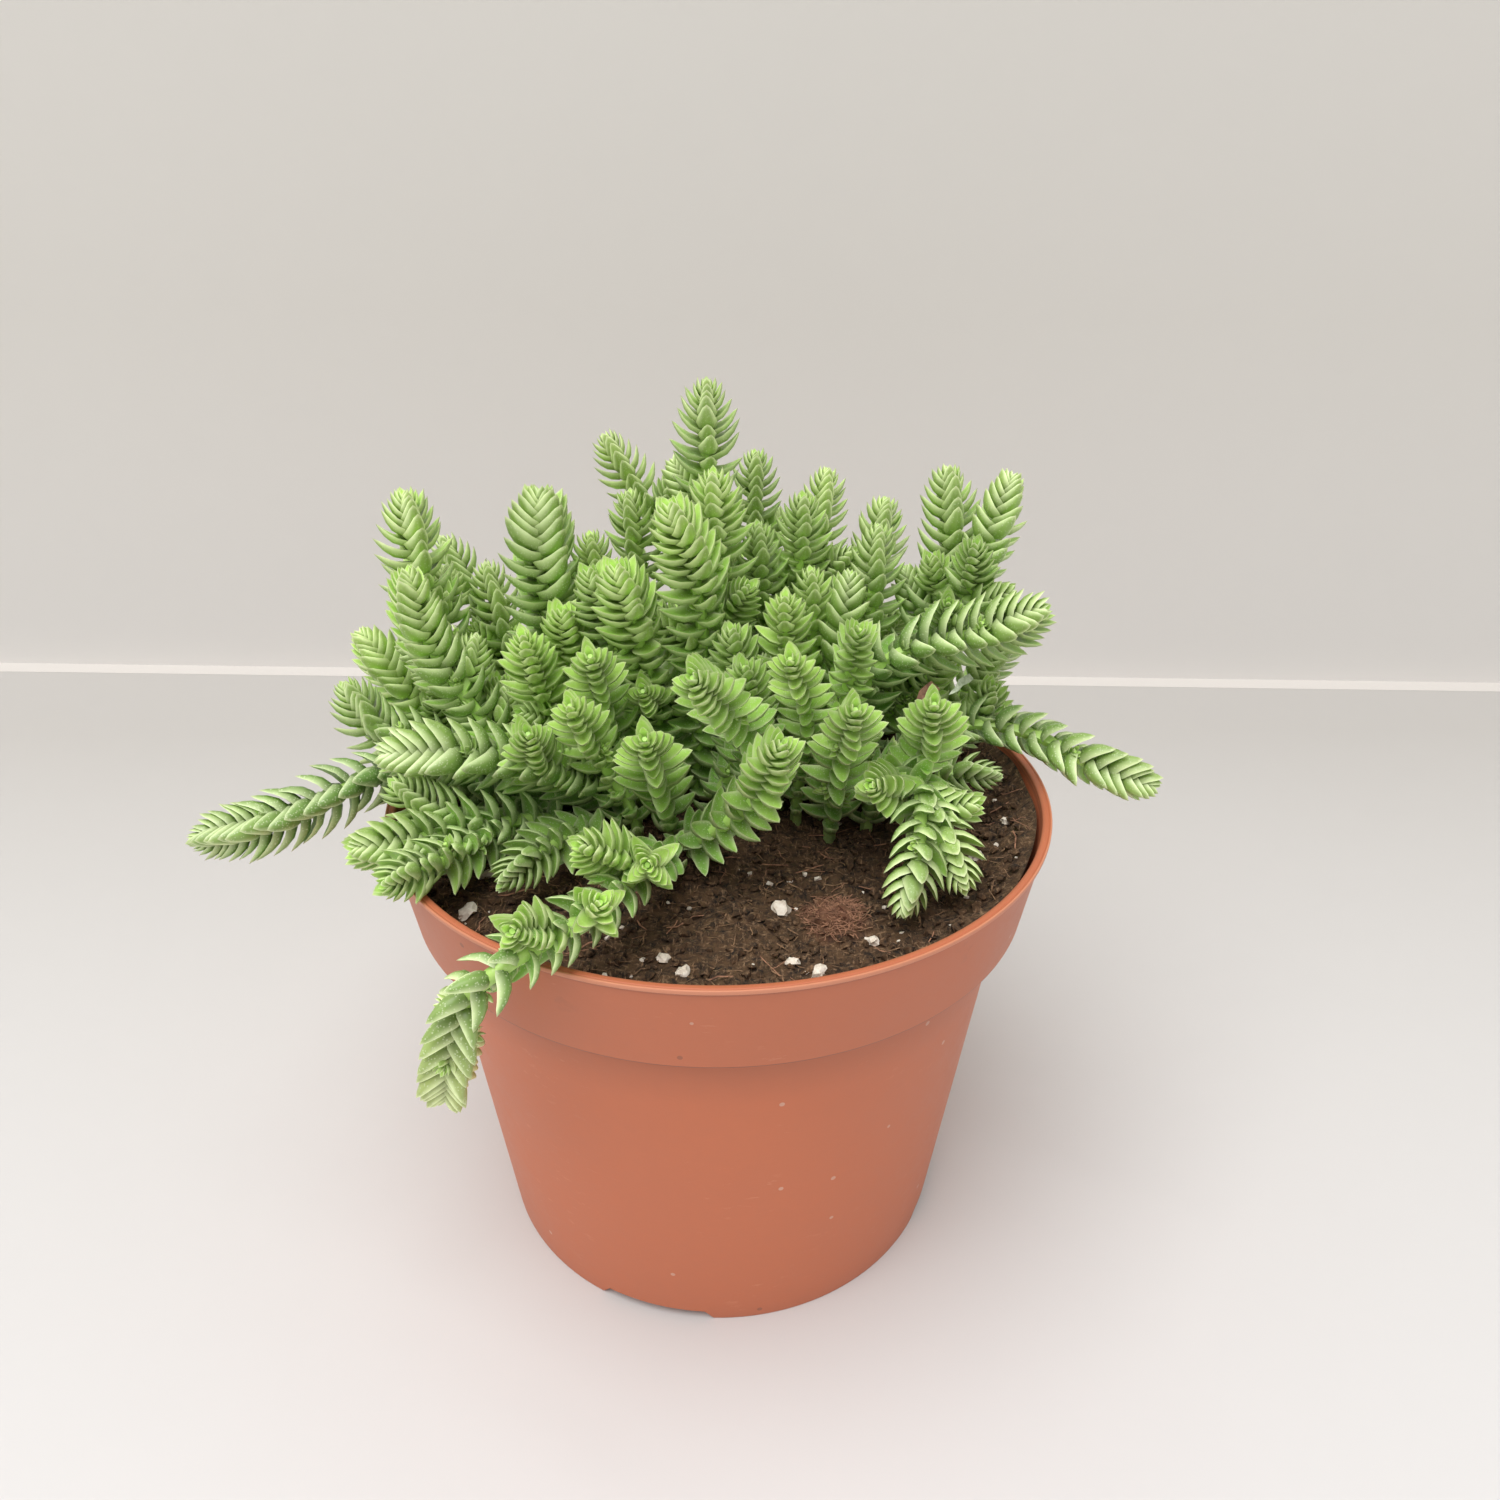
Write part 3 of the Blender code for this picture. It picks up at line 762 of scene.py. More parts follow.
        # Painted highlight along the lip's outer edge
        edge = graph.math("GREATER_THAN", radius, self.lip_highlight_mm * MM)
        colour = graph.mix(graph.math("MULTIPLY", edge, self.lip_share), colour, self.wear_and_highlight)
        graph.feed(shader.inputs["Base Color"], colour)
        grain = graph.noise(place, 1500.0, 2.0)
        graph.feed(shader.inputs["Roughness"], graph.span(mottled.outputs["Value"], 0.3, 0.7, 0.42, 0.54))
        graph.feed(shader.inputs["Normal"], graph.bump(graph.math("ADD", grain, scuffs), 0.25, 0.04))
        return material


@dataclass(frozen=True)
class PeatFinish:
    """Dark moist peat and red-brown fibre, with painted shade, nearly black, in the hollows."""

    effects: SharedEffects
    shaded_hollow: Colour = (0.011, 0.0065, 0.004)
    peat: Colour = (0.110, 0.058, 0.026)
    fibre: Colour = (0.370, 0.225, 0.125)
    reddish: Colour = (0.290, 0.115, 0.066)
    lump_place: tuple[float, float] = (18.5, -33.0)
    lump_radius: float = 6.6
    lump_uneven: float = 5.0
    lump_edge: tuple[float, float] = (0.55, 1.35)
    lump_share: float = 0.55

    def make(self) -> bpy.types.Material:
        """Build the material.

        Returns:
            The peat material.
        """
        material, graph, shader = new_finish("moist_peat", 0.9)
        place = graph.place()
        crumbs = graph.noise(place, 620.0, 7.0, 0.72)
        threads = graph.noise(graph.stretched(place, (1.0, 3.0, 1.0)), 650.0, 5.0, 0.65)
        crossed = graph.noise(graph.stretched(place, (3.2, 1.0, 1.0)), 560.0, 5.0, 0.65)
        # Painted shade: the low parts of the crumbly relief are nearly black
        colour = graph.mix(graph.span(crumbs, 0.36, 0.56, 0.0, 1.0), self.shaded_hollow, self.peat)
        stringy = graph.math("MAXIMUM", threads, crossed)
        colour = graph.mix(graph.span(stringy, 0.56, 0.70, 0.0, 0.85), colour, self.fibre)
        away = graph.node("ShaderNodeVectorMath", operation="DISTANCE")
        graph.feed(away.inputs[0], graph.stretched(place, (1.0, 1.0, 0.0)))
        away.inputs[1].default_value = (self.lump_place[0] * MM, self.lump_place[1] * MM, 0.0)
        uneven = graph.math("MULTIPLY_ADD", graph.noise(place, 260.0), self.lump_uneven * MM)
        graph.feed(uneven.node.inputs[2], away.outputs["Value"])
        inner, outer = (share * self.lump_radius * MM for share in self.lump_edge)
        lump = graph.span(uneven, inner, outer, self.lump_share, 0.0)
        colour = graph.mix(lump, colour, self.reddish)
        colour = self.effects.mottled(graph, colour, 70.0, 1500.0, 1.1)
        graph.feed(shader.inputs["Base Color"], colour)
        rough = graph.math("ADD", crumbs, stringy)
        graph.feed(shader.inputs["Normal"], graph.bump(rough, 0.9, 0.5))
        return material


@dataclass(frozen=True)
class GrainFinish:
    """A dry, rough finish in two colours, for perlite, coir threads and dead leaves."""

    effects: SharedEffects
    name: str
    light: Colour
    dark: Colour
    scale: float
    depth: float
    roughness: float = 0.85

    def make(self) -> bpy.types.Material:
        """Build the material.

        Returns:
            The material.
        """
        material, graph, shader = new_finish(self.name, self.roughness)
        place = graph.place()
        pores = graph.noise(place, self.scale, 5.0, 0.65)
        colour = graph.mix(graph.span(pores, 0.32, 0.60, 0.0, 1.0), self.dark, self.light)
        colour = self.effects.mottled(graph, colour, 160.0, 1600.0, 0.5)
        graph.feed(shader.inputs["Base Color"], colour)
        graph.feed(shader.inputs["Normal"], graph.bump(pores, 0.8, self.depth))
        return material


@dataclass(frozen=True)
class BackdropFinish:
    """A plain pale painted surface with faint unevenness, and painted light that changes slowly along one
    axis.

    The painted light goes from the near colour to the far one, between two places on the axis.
    """

    effects: SharedEffects
    name: str
    near: Colour
    far: Colour
    axis: int = 1
    span_mm: tuple[float, float] = (-200.0, 200.0)

    def make(self) -> bpy.types.Material:
        """Build the material.

        Returns:
            The backdrop's material.
        """
        material, graph, shader = new_finish(self.name, 0.7)
        depth = graph.parts(graph.place())[self.axis]
        low, high = self.span_mm
        colour = graph.mix(graph.span(depth, low * MM, high * MM, 0.0, 1.0), self.near, self.far)
        colour = self.effects.mottled(graph, colour, 3.0, 60.0, 0.04)
        graph.feed(shader.inputs["Base Color"], colour)
        return material


# Pot


@dataclass
class Pot:
    """The moulded nursery pot: lip, stepped collar, tapered body, floor with drains, and foot ring."""

    height: float = 89.6
    rim_radius: float = 60.0
    lip_height: float = 1.0
    lip_undercut: float = 0.2
    lip_dip: float = 0.12
    groove_radius: float = 59.45
    groove_depth: float = 0.18
    collar_top_radius: float = 59.3
    collar_foot_radius: float = 56.7
    collar_foot_z: float = 72.0
    body_top_radius: float = 53.2
    body_foot_radius: float = 44.5
    wall: float = 1.0
    step_slope: float = 0.4
    floor_underside: float = 3.0
    floor_top: float = 4.4
    foot_ring_width: float = 3.0
    pad_radius: float = 8.0
    pad_flare: float = 0.5
    sides: int = 160
    notches: int = 4
    notch_width: float = 22.2
    notch_top_width: float = 18.8
    notch_depth: float = 9.0
    notch_height: float = 2.1
    first_notch_deg: float = 253.5
    drains: int = 6
    drain_radius: float = 4.0
    drain_circle: float = 33.0
    drain_sides: int = 28
    edge_rounding: float = 0.3
    rounding_steps: int = 3
    body_rings: tuple[float, ...] = (4.0, 20.0, 38.0, 56.0)
    sharp_deg: float = 32.0

    def body_radius(self, height: float) -> float:
        """Outer radius of the tapered body at a height."""
        taper = self.body_top_radius - self.body_foot_radius
        return self.body_foot_radius + taper * height / self.collar_foot_z

    def profile(self) -> list[tuple[float, float]]:
        """Radius and height of each ring, from the pad under the foot to the floor inside.

        Returns:
            The rings, in millimetres.
        """
        lip_foot = self.height - self.lip_height
        ring_inside = self.body_foot_radius - self.foot_ring_width
        inside_step = self.collar_foot_z + self.wall
        corners = [
            (self.pad_radius, 0.0),
            (self.pad_radius + self.pad_flare, self.floor_underside),
            (ring_inside, self.floor_underside),
            (ring_inside, 0.0),
            (self.body_foot_radius, 0.0),
            *((self.body_radius(height), height) for height in self.body_rings),
            (self.body_top_radius, self.collar_foot_z),
            (self.collar_foot_radius, self.collar_foot_z + self.step_slope),
            (self.collar_top_radius, lip_foot),
            (self.rim_radius, lip_foot + self.lip_undercut),
            (self.rim_radius, self.height),
            (self.groove_radius + self.groove_depth, self.height),
            (self.groove_radius, self.height - self.groove_depth),
            (self.groove_radius - self.groove_depth, self.height - self.lip_dip / 2),
            (self.collar_top_radius - self.wall, self.height - self.lip_dip),
            (self.collar_foot_radius - self.wall, inside_step + self.step_slope),
            (self.body_top_radius - self.wall, inside_step),
            (self.body_radius(self.floor_top) - self.wall, self.floor_top),
            (self.pad_radius, self.floor_top),
        ]
        return rounded(corners, self.edge_rounding, self.rounding_steps)

    def notch(self, number: int) -> bpy.types.Object:
        """A block with sloping ends that cuts one notch through the foot ring.

        Args:
            number: Which notch, from 0.

        Returns:
            The block, in its place.
        """
        turn = math.radians(self.first_notch_deg) + math.tau * number / self.notches
        reach = (self.body_foot_radius - self.foot_ring_width / 2) * MM
        slope = self.notch_top_width / self.notch_width
        deselect_all()
        bpy.ops.mesh.primitive_cube_add(size=1.0, location=(0, 0, 0))
        block = bpy.context.object
        with Edit(block) as edit:
            edit.pick_all()
            edit.scale((self.notch_depth * MM, self.notch_width * MM, 2 * self.notch_height * MM), (0, 0, 0))
            edit.pick(lambda place: place.z > 0)
            edit.scale((1.0, slope, 1.0), (0, 0, 0))
            edit.pick(lambda place: place.z < 0)
            edit.scale((1.0, 2.0 - slope, 1.0), (0, 0, 0))
        block.rotation_euler = (0.0, 0.0, turn)
        block.location = (reach * math.cos(turn), reach * math.sin(turn), 0.0)
        bpy.ops.object.transform_apply(location=True, rotation=True, scale=True)
        return block

    def drain(self, number: int) -> bpy.types.Object:
        """A round bar that cuts one drain hole through the floor.

        Args:
            number: Which hole, from 0.

        Returns:
            The bar, in its place.
        """
        turn = math.tau * number / self.drains
        across, along = self.drain_circle * math.cos(turn), self.drain_circle * math.sin(turn)
        place = (across * MM, along * MM, self.floor_top * MM)
        radius, depth = self.drain_radius * MM, 3 * self.floor_top * MM
        deselect_all()
        bpy.ops.mesh.primitive_cylinder_add(
            vertices=self.drain_sides, radius=radius, depth=depth, location=place
        )
        bpy.ops.object.transform_apply(location=True, rotation=True, scale=True)
        return bpy.context.object

    def build(self, finish: bpy.types.Material) -> None:
        """Model the pot and hand it over.

        Args:
            finish: The plastic.
        """
        shell = turned("nursery_pot", self.profile(), self.sides)
        cut(shell, [self.notch(number) for number in range(self.notches)])
        cut(shell, [self.drain(number) for number in range(self.drains)])
        smooth_by_angle(shell, self.sharp_deg)
        hand_over(shell, Slot.POT, ["pot"], finish)


# Soil


def random_turn(tilts: tuple[float, float], chance: random.Random) -> Matrix:
    """A tilt of up to these angles about X and Y, and any turn about Z, in radians."""
    turn = Euler((*(chance.uniform(-tilt, tilt) for tilt in tilts), chance.uniform(0, math.tau)))
    return turn.to_matrix().to_4x4()


@dataclass
class Litter:
    """Small things that are modelled a few times and copied over the soil."""

    name: str

    def models(self) -> list[bpy.types.Object]:
        """The patterns that are copied."""
        raise NotImplementedError

    def place(self, x: float, y: float, ground: float, chance: random.Random) -> Matrix:
        """Place, turn and size of one copy, from a place on the soil in millimetres."""
        raise NotImplementedError

    def spread(
        self, spots: Sequence[Spot], height: Callable[[float, float], float], chance: random.Random
    ) -> bpy.types.Object:
        """Copy the patterns to spots on the soil and join the copies.

        Args:
            spots: Places in millimetres.
            height: The soil's height at a place.
            chance: The draw of sizes, turns and patterns.

        Returns:
            One object that holds them all.
        """
        models, copies = self.models(), []
        for x, y in spots:
            place = self.place(x, y, height(x, y), chance)
            copies.append(copy_at(chance.choice(models), place))
        for model in models:
            bpy.data.objects.remove(model)
        return join(copies, self.name)


@dataclass
class Scatter(Litter):
    """Irregular lumps: crumbs and grains."""

    low: float
    high: float
    flat: float
    uneven: float
    subdivisions: int = 1
    patterns: int = 4
    tilt: float = 0.5
    narrow: tuple[float, float] = (0.7, 1.0)
    raised: float = 0.25
    foot: float = -0.5
    foot_scale: Point = (1.15, 1.15, 0.7)

    def models(self) -> list[bpy.types.Object]:
        """Rough lumps of unit radius on a broader foot, no two alike.

        Returns:
            The lumps.
        """
        made = []
        for number in range(self.patterns):
            deselect_all()
            bpy.ops.mesh.primitive_ico_sphere_add(
                subdivisions=self.subdivisions, radius=1.0, location=(0, 0, 0)
            )
            lump = bpy.context.object
            lump.name = f"{self.name}_pattern_{number}"
            with Edit(lump) as edit:
                edit.pick_all()
                bpy.ops.transform.vertex_random(offset=self.uneven, uniform=0.6, normal=0.4, seed=number + 1)
                edit.pick(lambda place: place.z < self.foot)
                edit.scale(self.foot_scale, (0.0, 0.0, self.foot))
                edit.face_outwards()
            smooth_by_angle(lump, 40.0)
            made.append(lump)
        return made

    def place(self, x: float, y: float, ground: float, chance: random.Random) -> Matrix:
        """A lump of its own size, tilted a little and raised by a share of its size.

        Args:
            x: Its place along X in millimetres.
            y: Its place along Y.
            ground: The soil's height there.
            chance: The draw of its size and turns.

        Returns:
            Its place, turn and size, in metres.
        """
        size = chance.uniform(self.low, self.high)
        stretch = Matrix.Diagonal((size, size * chance.uniform(*self.narrow), size * self.flat, 1.0))
        turn = random_turn((self.tilt, self.tilt), chance)
        return Matrix.Scale(MM, 4) @ Matrix.Translation((x, y, ground + self.raised * size)) @ turn @ stretch


@dataclass
class Threads(Litter):
    """Thin curved threads of coir and moss."""

    thickness: float
    length: tuple[float, float]
    bends: tuple[float, ...] = (0.10, 0.22, -0.16, 0.32)
    arch: float = 0.12
    handle: float = 0.35
    tilts: tuple[float, float] = (0.4, 0.25)
    raised: float = 0.35
    low: float = 0.5

    def models(self) -> list[bpy.types.Object]:
        """Threads of unit length along X, each with its own bend.

        Returns:
            The threads.
        """
        made = []
        for bend in self.bends:
            deselect_all()
            bpy.ops.curve.primitive_bezier_curve_add(radius=0.5, location=(0, 0, 0))
            thread = bpy.context.object
            thread.name = self.name + "_pattern"
            first, last = thread.data.splines[0].bezier_points
            for point, x, sign in ((first, -0.5, 1.0), (last, 0.5, -1.0)):
                point.co = (x, 0.0, 0.0)
                point.handle_right = (x + self.handle, bend * sign, self.arch)
                point.handle_left = (x - self.handle, bend, self.arch)
            thread.data.resolution_u = 4
            thread.data.bevel_depth = self.thickness
            thread.data.bevel_resolution = 0
            thread.data.use_fill_caps = True
            select_only([thread], thread)
            bpy.ops.object.convert(target="MESH")
            smooth_by_angle(thread, 60.0)
            made.append(thread)
        return made

    def place(self, x: float, y: float, ground: float, chance: random.Random) -> Matrix:
        """A thread of its own length that lies nearly flat.

        Args:
            x: Its place along X in millimetres.
            y: Its place along Y.
            ground: The soil's height there.
            chance: The draw of its length and turns.

        Returns:
            Its place, turn and size, in metres.
        """
        length = chance.uniform(*self.length)
        turn = random_turn(self.tilts, chance)
        stretch = Matrix.Diagonal((length, length, length * self.low, 1.0))
        return Matrix.Scale(MM, 4) @ Matrix.Translation((x, y, ground + self.raised)) @ turn @ stretch


@dataclass
class Soil:
    """Peat that fills the pot, with crumbs, coir threads, a coir lump and perlite on top."""

    pot: Pot
    gap: float = 0.3
    level: float = 82.0
    edge_drop: float = 1.2
    edge_flare: float = 0.8
    bank_height: float = 7.6
    bank_width: float = 15.0
    bank_middle_deg: float = 8.0
    bank_half_deg: float = 80.0
    bank_fullness: float = 1.6
    wall_flare: float = 0.15
    clear_edge: float = 1.0
    unevenness: tuple[tuple[str, float, float], ...] = (("clods", 4.5, 2.0), ("crumbs", 1.3, 1.5))
    middle_share: float = 0.55
    waves: tuple[float, float] = (0.7, 0.45)
    lump_place: tuple[float, float] = (18.5, -32.5)
    lump_radius: float = 7.0
    lump_height: float = 2.2
    lump_cover: float = 0.8
    lump_crowding: float = 0.7
    sides: int = 300
    rings: int = 64
    crumbs: int = 2300
    threads: int = 160
    lump_threads: int = 300
    shreds: int = 1100
    perlite_places: tuple[Spot, ...] = (
        (-42, -29), (-40, -19), (-9, -42), (-6, -45), (10, -30), (11, -44), (15, -46), (45, -17), (52, -7),
        (24, -38), (-30, 44), (-6, 51), (24, 46), (44, 30), (51, 12), (-50, 8), (-45, 27),
    )
    perlite_dust: int = 110

    def bank(self, x: float, y: float) -> float:
        """How far the soil is banked up against the pot's wall at a place.

        Args:
            x: The place along X in millimetres.
            y: The place along Y.

        Returns:
            The added height in millimetres.
        """
        near_wall = 1.0 - (self.edge_radius() - math.hypot(x, y)) / self.bank_width
        turn = math.degrees(math.atan2(y, x)) - self.bank_middle_deg
        beside = 1.0 - abs((turn + 180.0) % 360.0 - 180.0) / self.bank_half_deg
        if near_wall <= 0.0 or beside <= 0.0:
            return 0.0
        return self.bank_height * near_wall**2 * min(1.0, self.bank_fullness * beside)

    def height(self, x: float, y: float) -> float:
        """Height of the soil's surface at a place: the CAD model's, with the bank added.

        Args:
            x: The place along X in millimetres.
            y: The place along Y.

        Returns:
            The height in millimetres.
        """
        broad, short = self.waves
        waves = broad * math.sin(0.21 * x + 0.6) * math.cos(0.17 * y) + short * math.sin(0.33 * y - 0.25 * x)
        away = math.dist((x, y), self.lump_place) / self.lump_radius
        lump = self.lump_height * max(0.0, 1.0 - away * away)
        edge = self.edge_drop * (math.hypot(x, y) / self.pot.collar_foot_radius) ** 4
        return self.level + waves + lump - edge + self.bank(x, y)

    def edge_radius(self) -> float:
        """Radius of the soil's surface where it meets the collar."""
        return self.pot.collar_foot_radius - self.pot.wall - self.gap + self.edge_flare

    def plug(self) -> bpy.types.Object:
        """The body of the soil, with a crumbly surface.

        Returns:
            The body.
        """
        pot, inside = self.pot, self.pot.wall + self.gap
        profile = [
            (pot.pad_radius, pot.floor_top + self.gap),
            (pot.body_radius(pot.floor_top) - inside, pot.floor_top + self.gap),
            (pot.body_top_radius - inside, pot.collar_foot_z + pot.wall + self.gap),
            (pot.collar_foot_radius - inside, pot.collar_foot_z + pot.wall + pot.step_slope + self.gap),
        ]
        edge = self.edge_radius()
        profile += [(edge * (1 - ring / self.rings), self.level) for ring in range(self.rings)]
        plug = turned("peat_soil", profile, self.sides)
        surface = plug.vertex_groups.new(name="surface")
        for vertex in plug.data.vertices:
            if vertex.co.z > (self.level - self.gap) * MM:
                x, y = vertex.co.x / MM, vertex.co.y / MM
                vertex.co.z = self.height(x, y) * MM
                wider = 1.0 + self.wall_flare * self.bank(x, y) / edge
                vertex.co.x, vertex.co.y = vertex.co.x * wider, vertex.co.y * wider
                if math.hypot(x, y) < edge - self.gap:
                    surface.add([vertex.index], 1.0, "REPLACE")
        for name, size, depth in self.unevenness:
            texture = bpy.data.textures.new(name, "CLOUDS")
            texture.noise_scale = size * MM
            texture.noise_depth = 3
            apply_modifier(
                plug, "DISPLACE", texture=texture, texture_coords="LOCAL", direction="Z", strength=depth * MM,
                mid_level=self.middle_share, vertex_group="surface",
            )
        smooth_by_angle(plug, 60.0)
        return plug

    def spots(self, count: int, chance: random.Random) -> list[tuple[float, float]]:
        """Even random places on the surface.

        Args:
            count: How many.
            chance: The draw.

        Returns:
            Places in millimetres.
        """
        found = []
        for _ in range(count):
            radius = (self.edge_radius() - self.clear_edge) * math.sqrt(chance.random())
            turn = chance.uniform(0, math.tau)
            found.append((radius * math.cos(turn), radius * math.sin(turn)))
        return found

    def lump_spots(self, count: int, chance: random.Random) -> list[tuple[float, float]]:
        """Random places on the coir lump.

        Args:
            count: How many.
            chance: The draw.

        Returns:
            Places in millimetres.
        """
        x, y = self.lump_place
        found = []
        for _ in range(count):
            radius = self.lump_radius * chance.random() ** self.lump_crowding * self.lump_cover
            turn = chance.uniform(0, math.tau)
            found.append((x + radius * math.cos(turn), y + radius * math.sin(turn)))
        return found

    def build(self, effects: SharedEffects) -> None:
        """Model the soil and what lies on it, and hand them over.

        Args:
            effects: The shared node groups.
        """
        chance = random.Random(SEED)
        peat = PeatFinish(effects).make()
        coir, moss, white = (
            GrainFinish(effects, name, light, dark, 900.0, depth).make()
            for name, light, dark, depth in (
                ("coir_thread", (0.430, 0.215, 0.125), (0.120, 0.050, 0.030), 0.1),
                ("moss_thread", (0.330, 0.190, 0.100), (0.055, 0.028, 0.016), 0.1),
                ("perlite", (0.960, 0.880, 0.760), (0.700, 0.580, 0.460), 0.35),
            )
        )
        hand_over(self.plug(), Slot.SOIL, ["soil"], peat)

        def cover(litter: Litter, spots: Sequence[Spot], finish: bpy.types.Material) -> None:
            """Spread one kind of litter over spots on the soil and hand it over."""
            hand_over(litter.spread(spots, self.height, chance), Slot.SOIL, ["soil"], finish)

        crumbs = Scatter("peat_crumbs", low=0.30, high=1.25, flat=0.70, uneven=0.40)
        cover(crumbs, self.spots(self.crumbs, chance), peat)
        threads = Threads("coir_threads", thickness=0.022, length=(2.5, 7.0))
        cover(threads, self.spots(self.threads, chance), coir)
        lump = Threads("coir_lump", thickness=0.026, length=(1.6, 3.4))
        cover(lump, self.lump_spots(self.lump_threads, chance), coir)
        shreds = Threads("moss_shreds", thickness=0.036, length=(1.1, 3.4))
        cover(shreds, self.spots(self.shreds, chance), moss)
        grains = Scatter("perlite_grains", low=0.9, high=1.6, flat=0.62, uneven=0.30, subdivisions=2)
        cover(grains, self.perlite_places, white)
        bits = Scatter("perlite_bits", low=0.22, high=0.62, flat=0.8, uneven=0.3)
        cover(bits, self.spots(self.perlite_dust, chance), white)


# Leaves


@dataclass(frozen=True)
class LeafPattern:
    """One thick, keeled leaf along +Z, its upper side facing +Y, in millimetres.

    Each station is (distance from the root, half width, thickness, lift towards the upper side).
    The section begins as a circle of unit radius: its upper part is flattened, its middle sunk as a
    channel, and its margins lifted.
    """

    age: LeafAge
    stations: tuple[tuple[float, float, float, float], ...]
    tip: tuple[float, float]
    upper_from: float = 0.3
    upper_width: float = 0.88
    near_middle: float = 0.1
    channel: float = 0.12
    margin_from: float = 0.9
    margin_lift: float = 0.16
    tip_under: float = 0.4
    section_points: int = 8
    sharp_deg: float = 58.0

    @property
    def length(self) -> float:
        """Distance from root to tip."""
        return self.tip[0]

    @property
    def half_width(self) -> float:
        """The widest station's half width."""
        return max(width for _, width, _, _ in self.stations)

    @property
    def thickness(self) -> float:
        """The thickest station's thickness."""
        return max(thickness for _, _, thickness, _ in self.stations)

    def model(self) -> bpy.types.Object:
        """Model the leaf from a round section, extruded from the root to the tip.

        Returns:
            The leaf, with its attribute leaf_form.
        """
        start, half_width, thickness, lift = self.stations[0]
        deselect_all()
        bpy.ops.mesh.primitive_circle_add(
            vertices=self.section_points, radius=1.0, fill_type="NGON", location=(0, 0, 0)
        )
        leaf = bpy.context.object
        leaf.name = f"leaf_{self.age.value}"
        with Edit(leaf) as edit:
            edit.pick(lambda place: place.y > self.upper_from)
            edit.scale((self.upper_width, 0.0, 1.0), (0.0, 0.0, 0.0))
            edit.pick(lambda place: abs(place.x) < self.near_middle and place.y > -self.near_middle)
            edit.move((0.0, -self.channel, 0.0))
            edit.pick(lambda place: abs(place.x) > self.margin_from)
            edit.move((0.0, self.margin_lift, 0.0))
            edit.pick_all()
            edit.scale((half_width * MM, thickness * MM, 1.0), (0.0, 0.0, 0.0))
            edit.move((0.0, lift * MM, start * MM))
            for station in self.stations[1:]:
                after, next_width, next_thickness, next_lift = station
                edit.extrude_face((0.0, (next_lift - lift) * MM, (after - start) * MM))
                centre = (0.0, next_lift * MM, after * MM)
                edit.scale((next_width / half_width, next_thickness / thickness, 1.0), centre)
                start, half_width, thickness, lift = station
            tip_distance, tip_lift = self.tip
            edit.extrude_face((0.0, (tip_lift - lift) * MM, (tip_distance - start) * MM))
            edit.close_ring()
            edit.face_outwards()
        smooth_by_angle(leaf, self.sharp_deg)
        self.mark(leaf)
        return leaf

    def mark(self, leaf: bpy.types.Object) -> None:
        """Write how far along each point is, how near the margin, and how far round to the keel.

        Args:
            leaf: The modelled leaf.
        """
        values: list[float] = []
        for vertex in leaf.data.vertices:
            x, y, z = (value / MM for value in vertex.co)
            _, half_width, thickness, lift = min(self.stations, key=lambda station: abs(station[0] - z))
            at_tip = z > (self.length + self.stations[-1][0]) / 2
            margin = 1.0 if at_tip else min(1.0, abs(x) / half_width)
            under = self.tip_under if at_tip else max(0.0, min(1.0, (lift - y) / thickness))
            values += [z / self.length, margin, under]
        form = leaf.data.attributes.new("leaf_form", "FLOAT_VECTOR", "POINT")
        form.data.foreach_set("vector", values)
        leaf.data.attributes.new("leaf_life", "FLOAT_VECTOR", "POINT")
        leaf.data.attributes.new("leaf_pallor", "FLOAT", "POINT")


LEAF_PATTERNS = (
    LeafPattern(
        LeafAge.BUD,
        ((0.0, 0.52, 0.44, 0.00), (0.8, 0.66, 0.54, -0.03), (1.7, 0.42, 0.34, 0.05)),
        (2.35, 0.18),
    ),
    LeafPattern(
        LeafAge.YOUNG,
        ((0.0, 1.16, 0.90, 0.00), (0.8, 1.42, 1.10, -0.16), (2.2, 1.22, 0.98, -0.24),
         (3.5, 0.76, 0.62, 0.08)),
        (4.5, 0.56),
    ),
    LeafPattern(
        LeafAge.GROWN,
        (
            (0.0, 1.30, 1.10, 0.00), (0.9, 1.60, 1.38, -0.24), (2.5, 1.42, 1.26, -0.42),
            (4.1, 1.00, 0.92, -0.08), (5.25, 0.54, 0.50, 0.42),
        ),
        (6.0, 0.85),
    ),
)


@dataclass(frozen=True)
class LeafStance:
    """Size and stance of the leaves at one distance from a shoot's tip, in millimetres and degrees."""

    distance: float
    spacing: float
    length: float
    half_width: float
    thickness: float
    spread_deg: float

    def towards(self, other: "LeafStance", distance: float) -> "LeafStance":
        """The stance between two others at a distance.

        Args:
            other: The next stance further from the tip.
            distance: The distance from the tip.

        Returns:
            The stance there.
        """
        share = (distance - self.distance) / (other.distance - self.distance)
        names = ("spacing", "length", "half_width", "thickness", "spread_deg")
        values = (getattr(self, name) * (1 - share) + getattr(other, name) * share for name in names)
        return LeafStance(distance, *values)


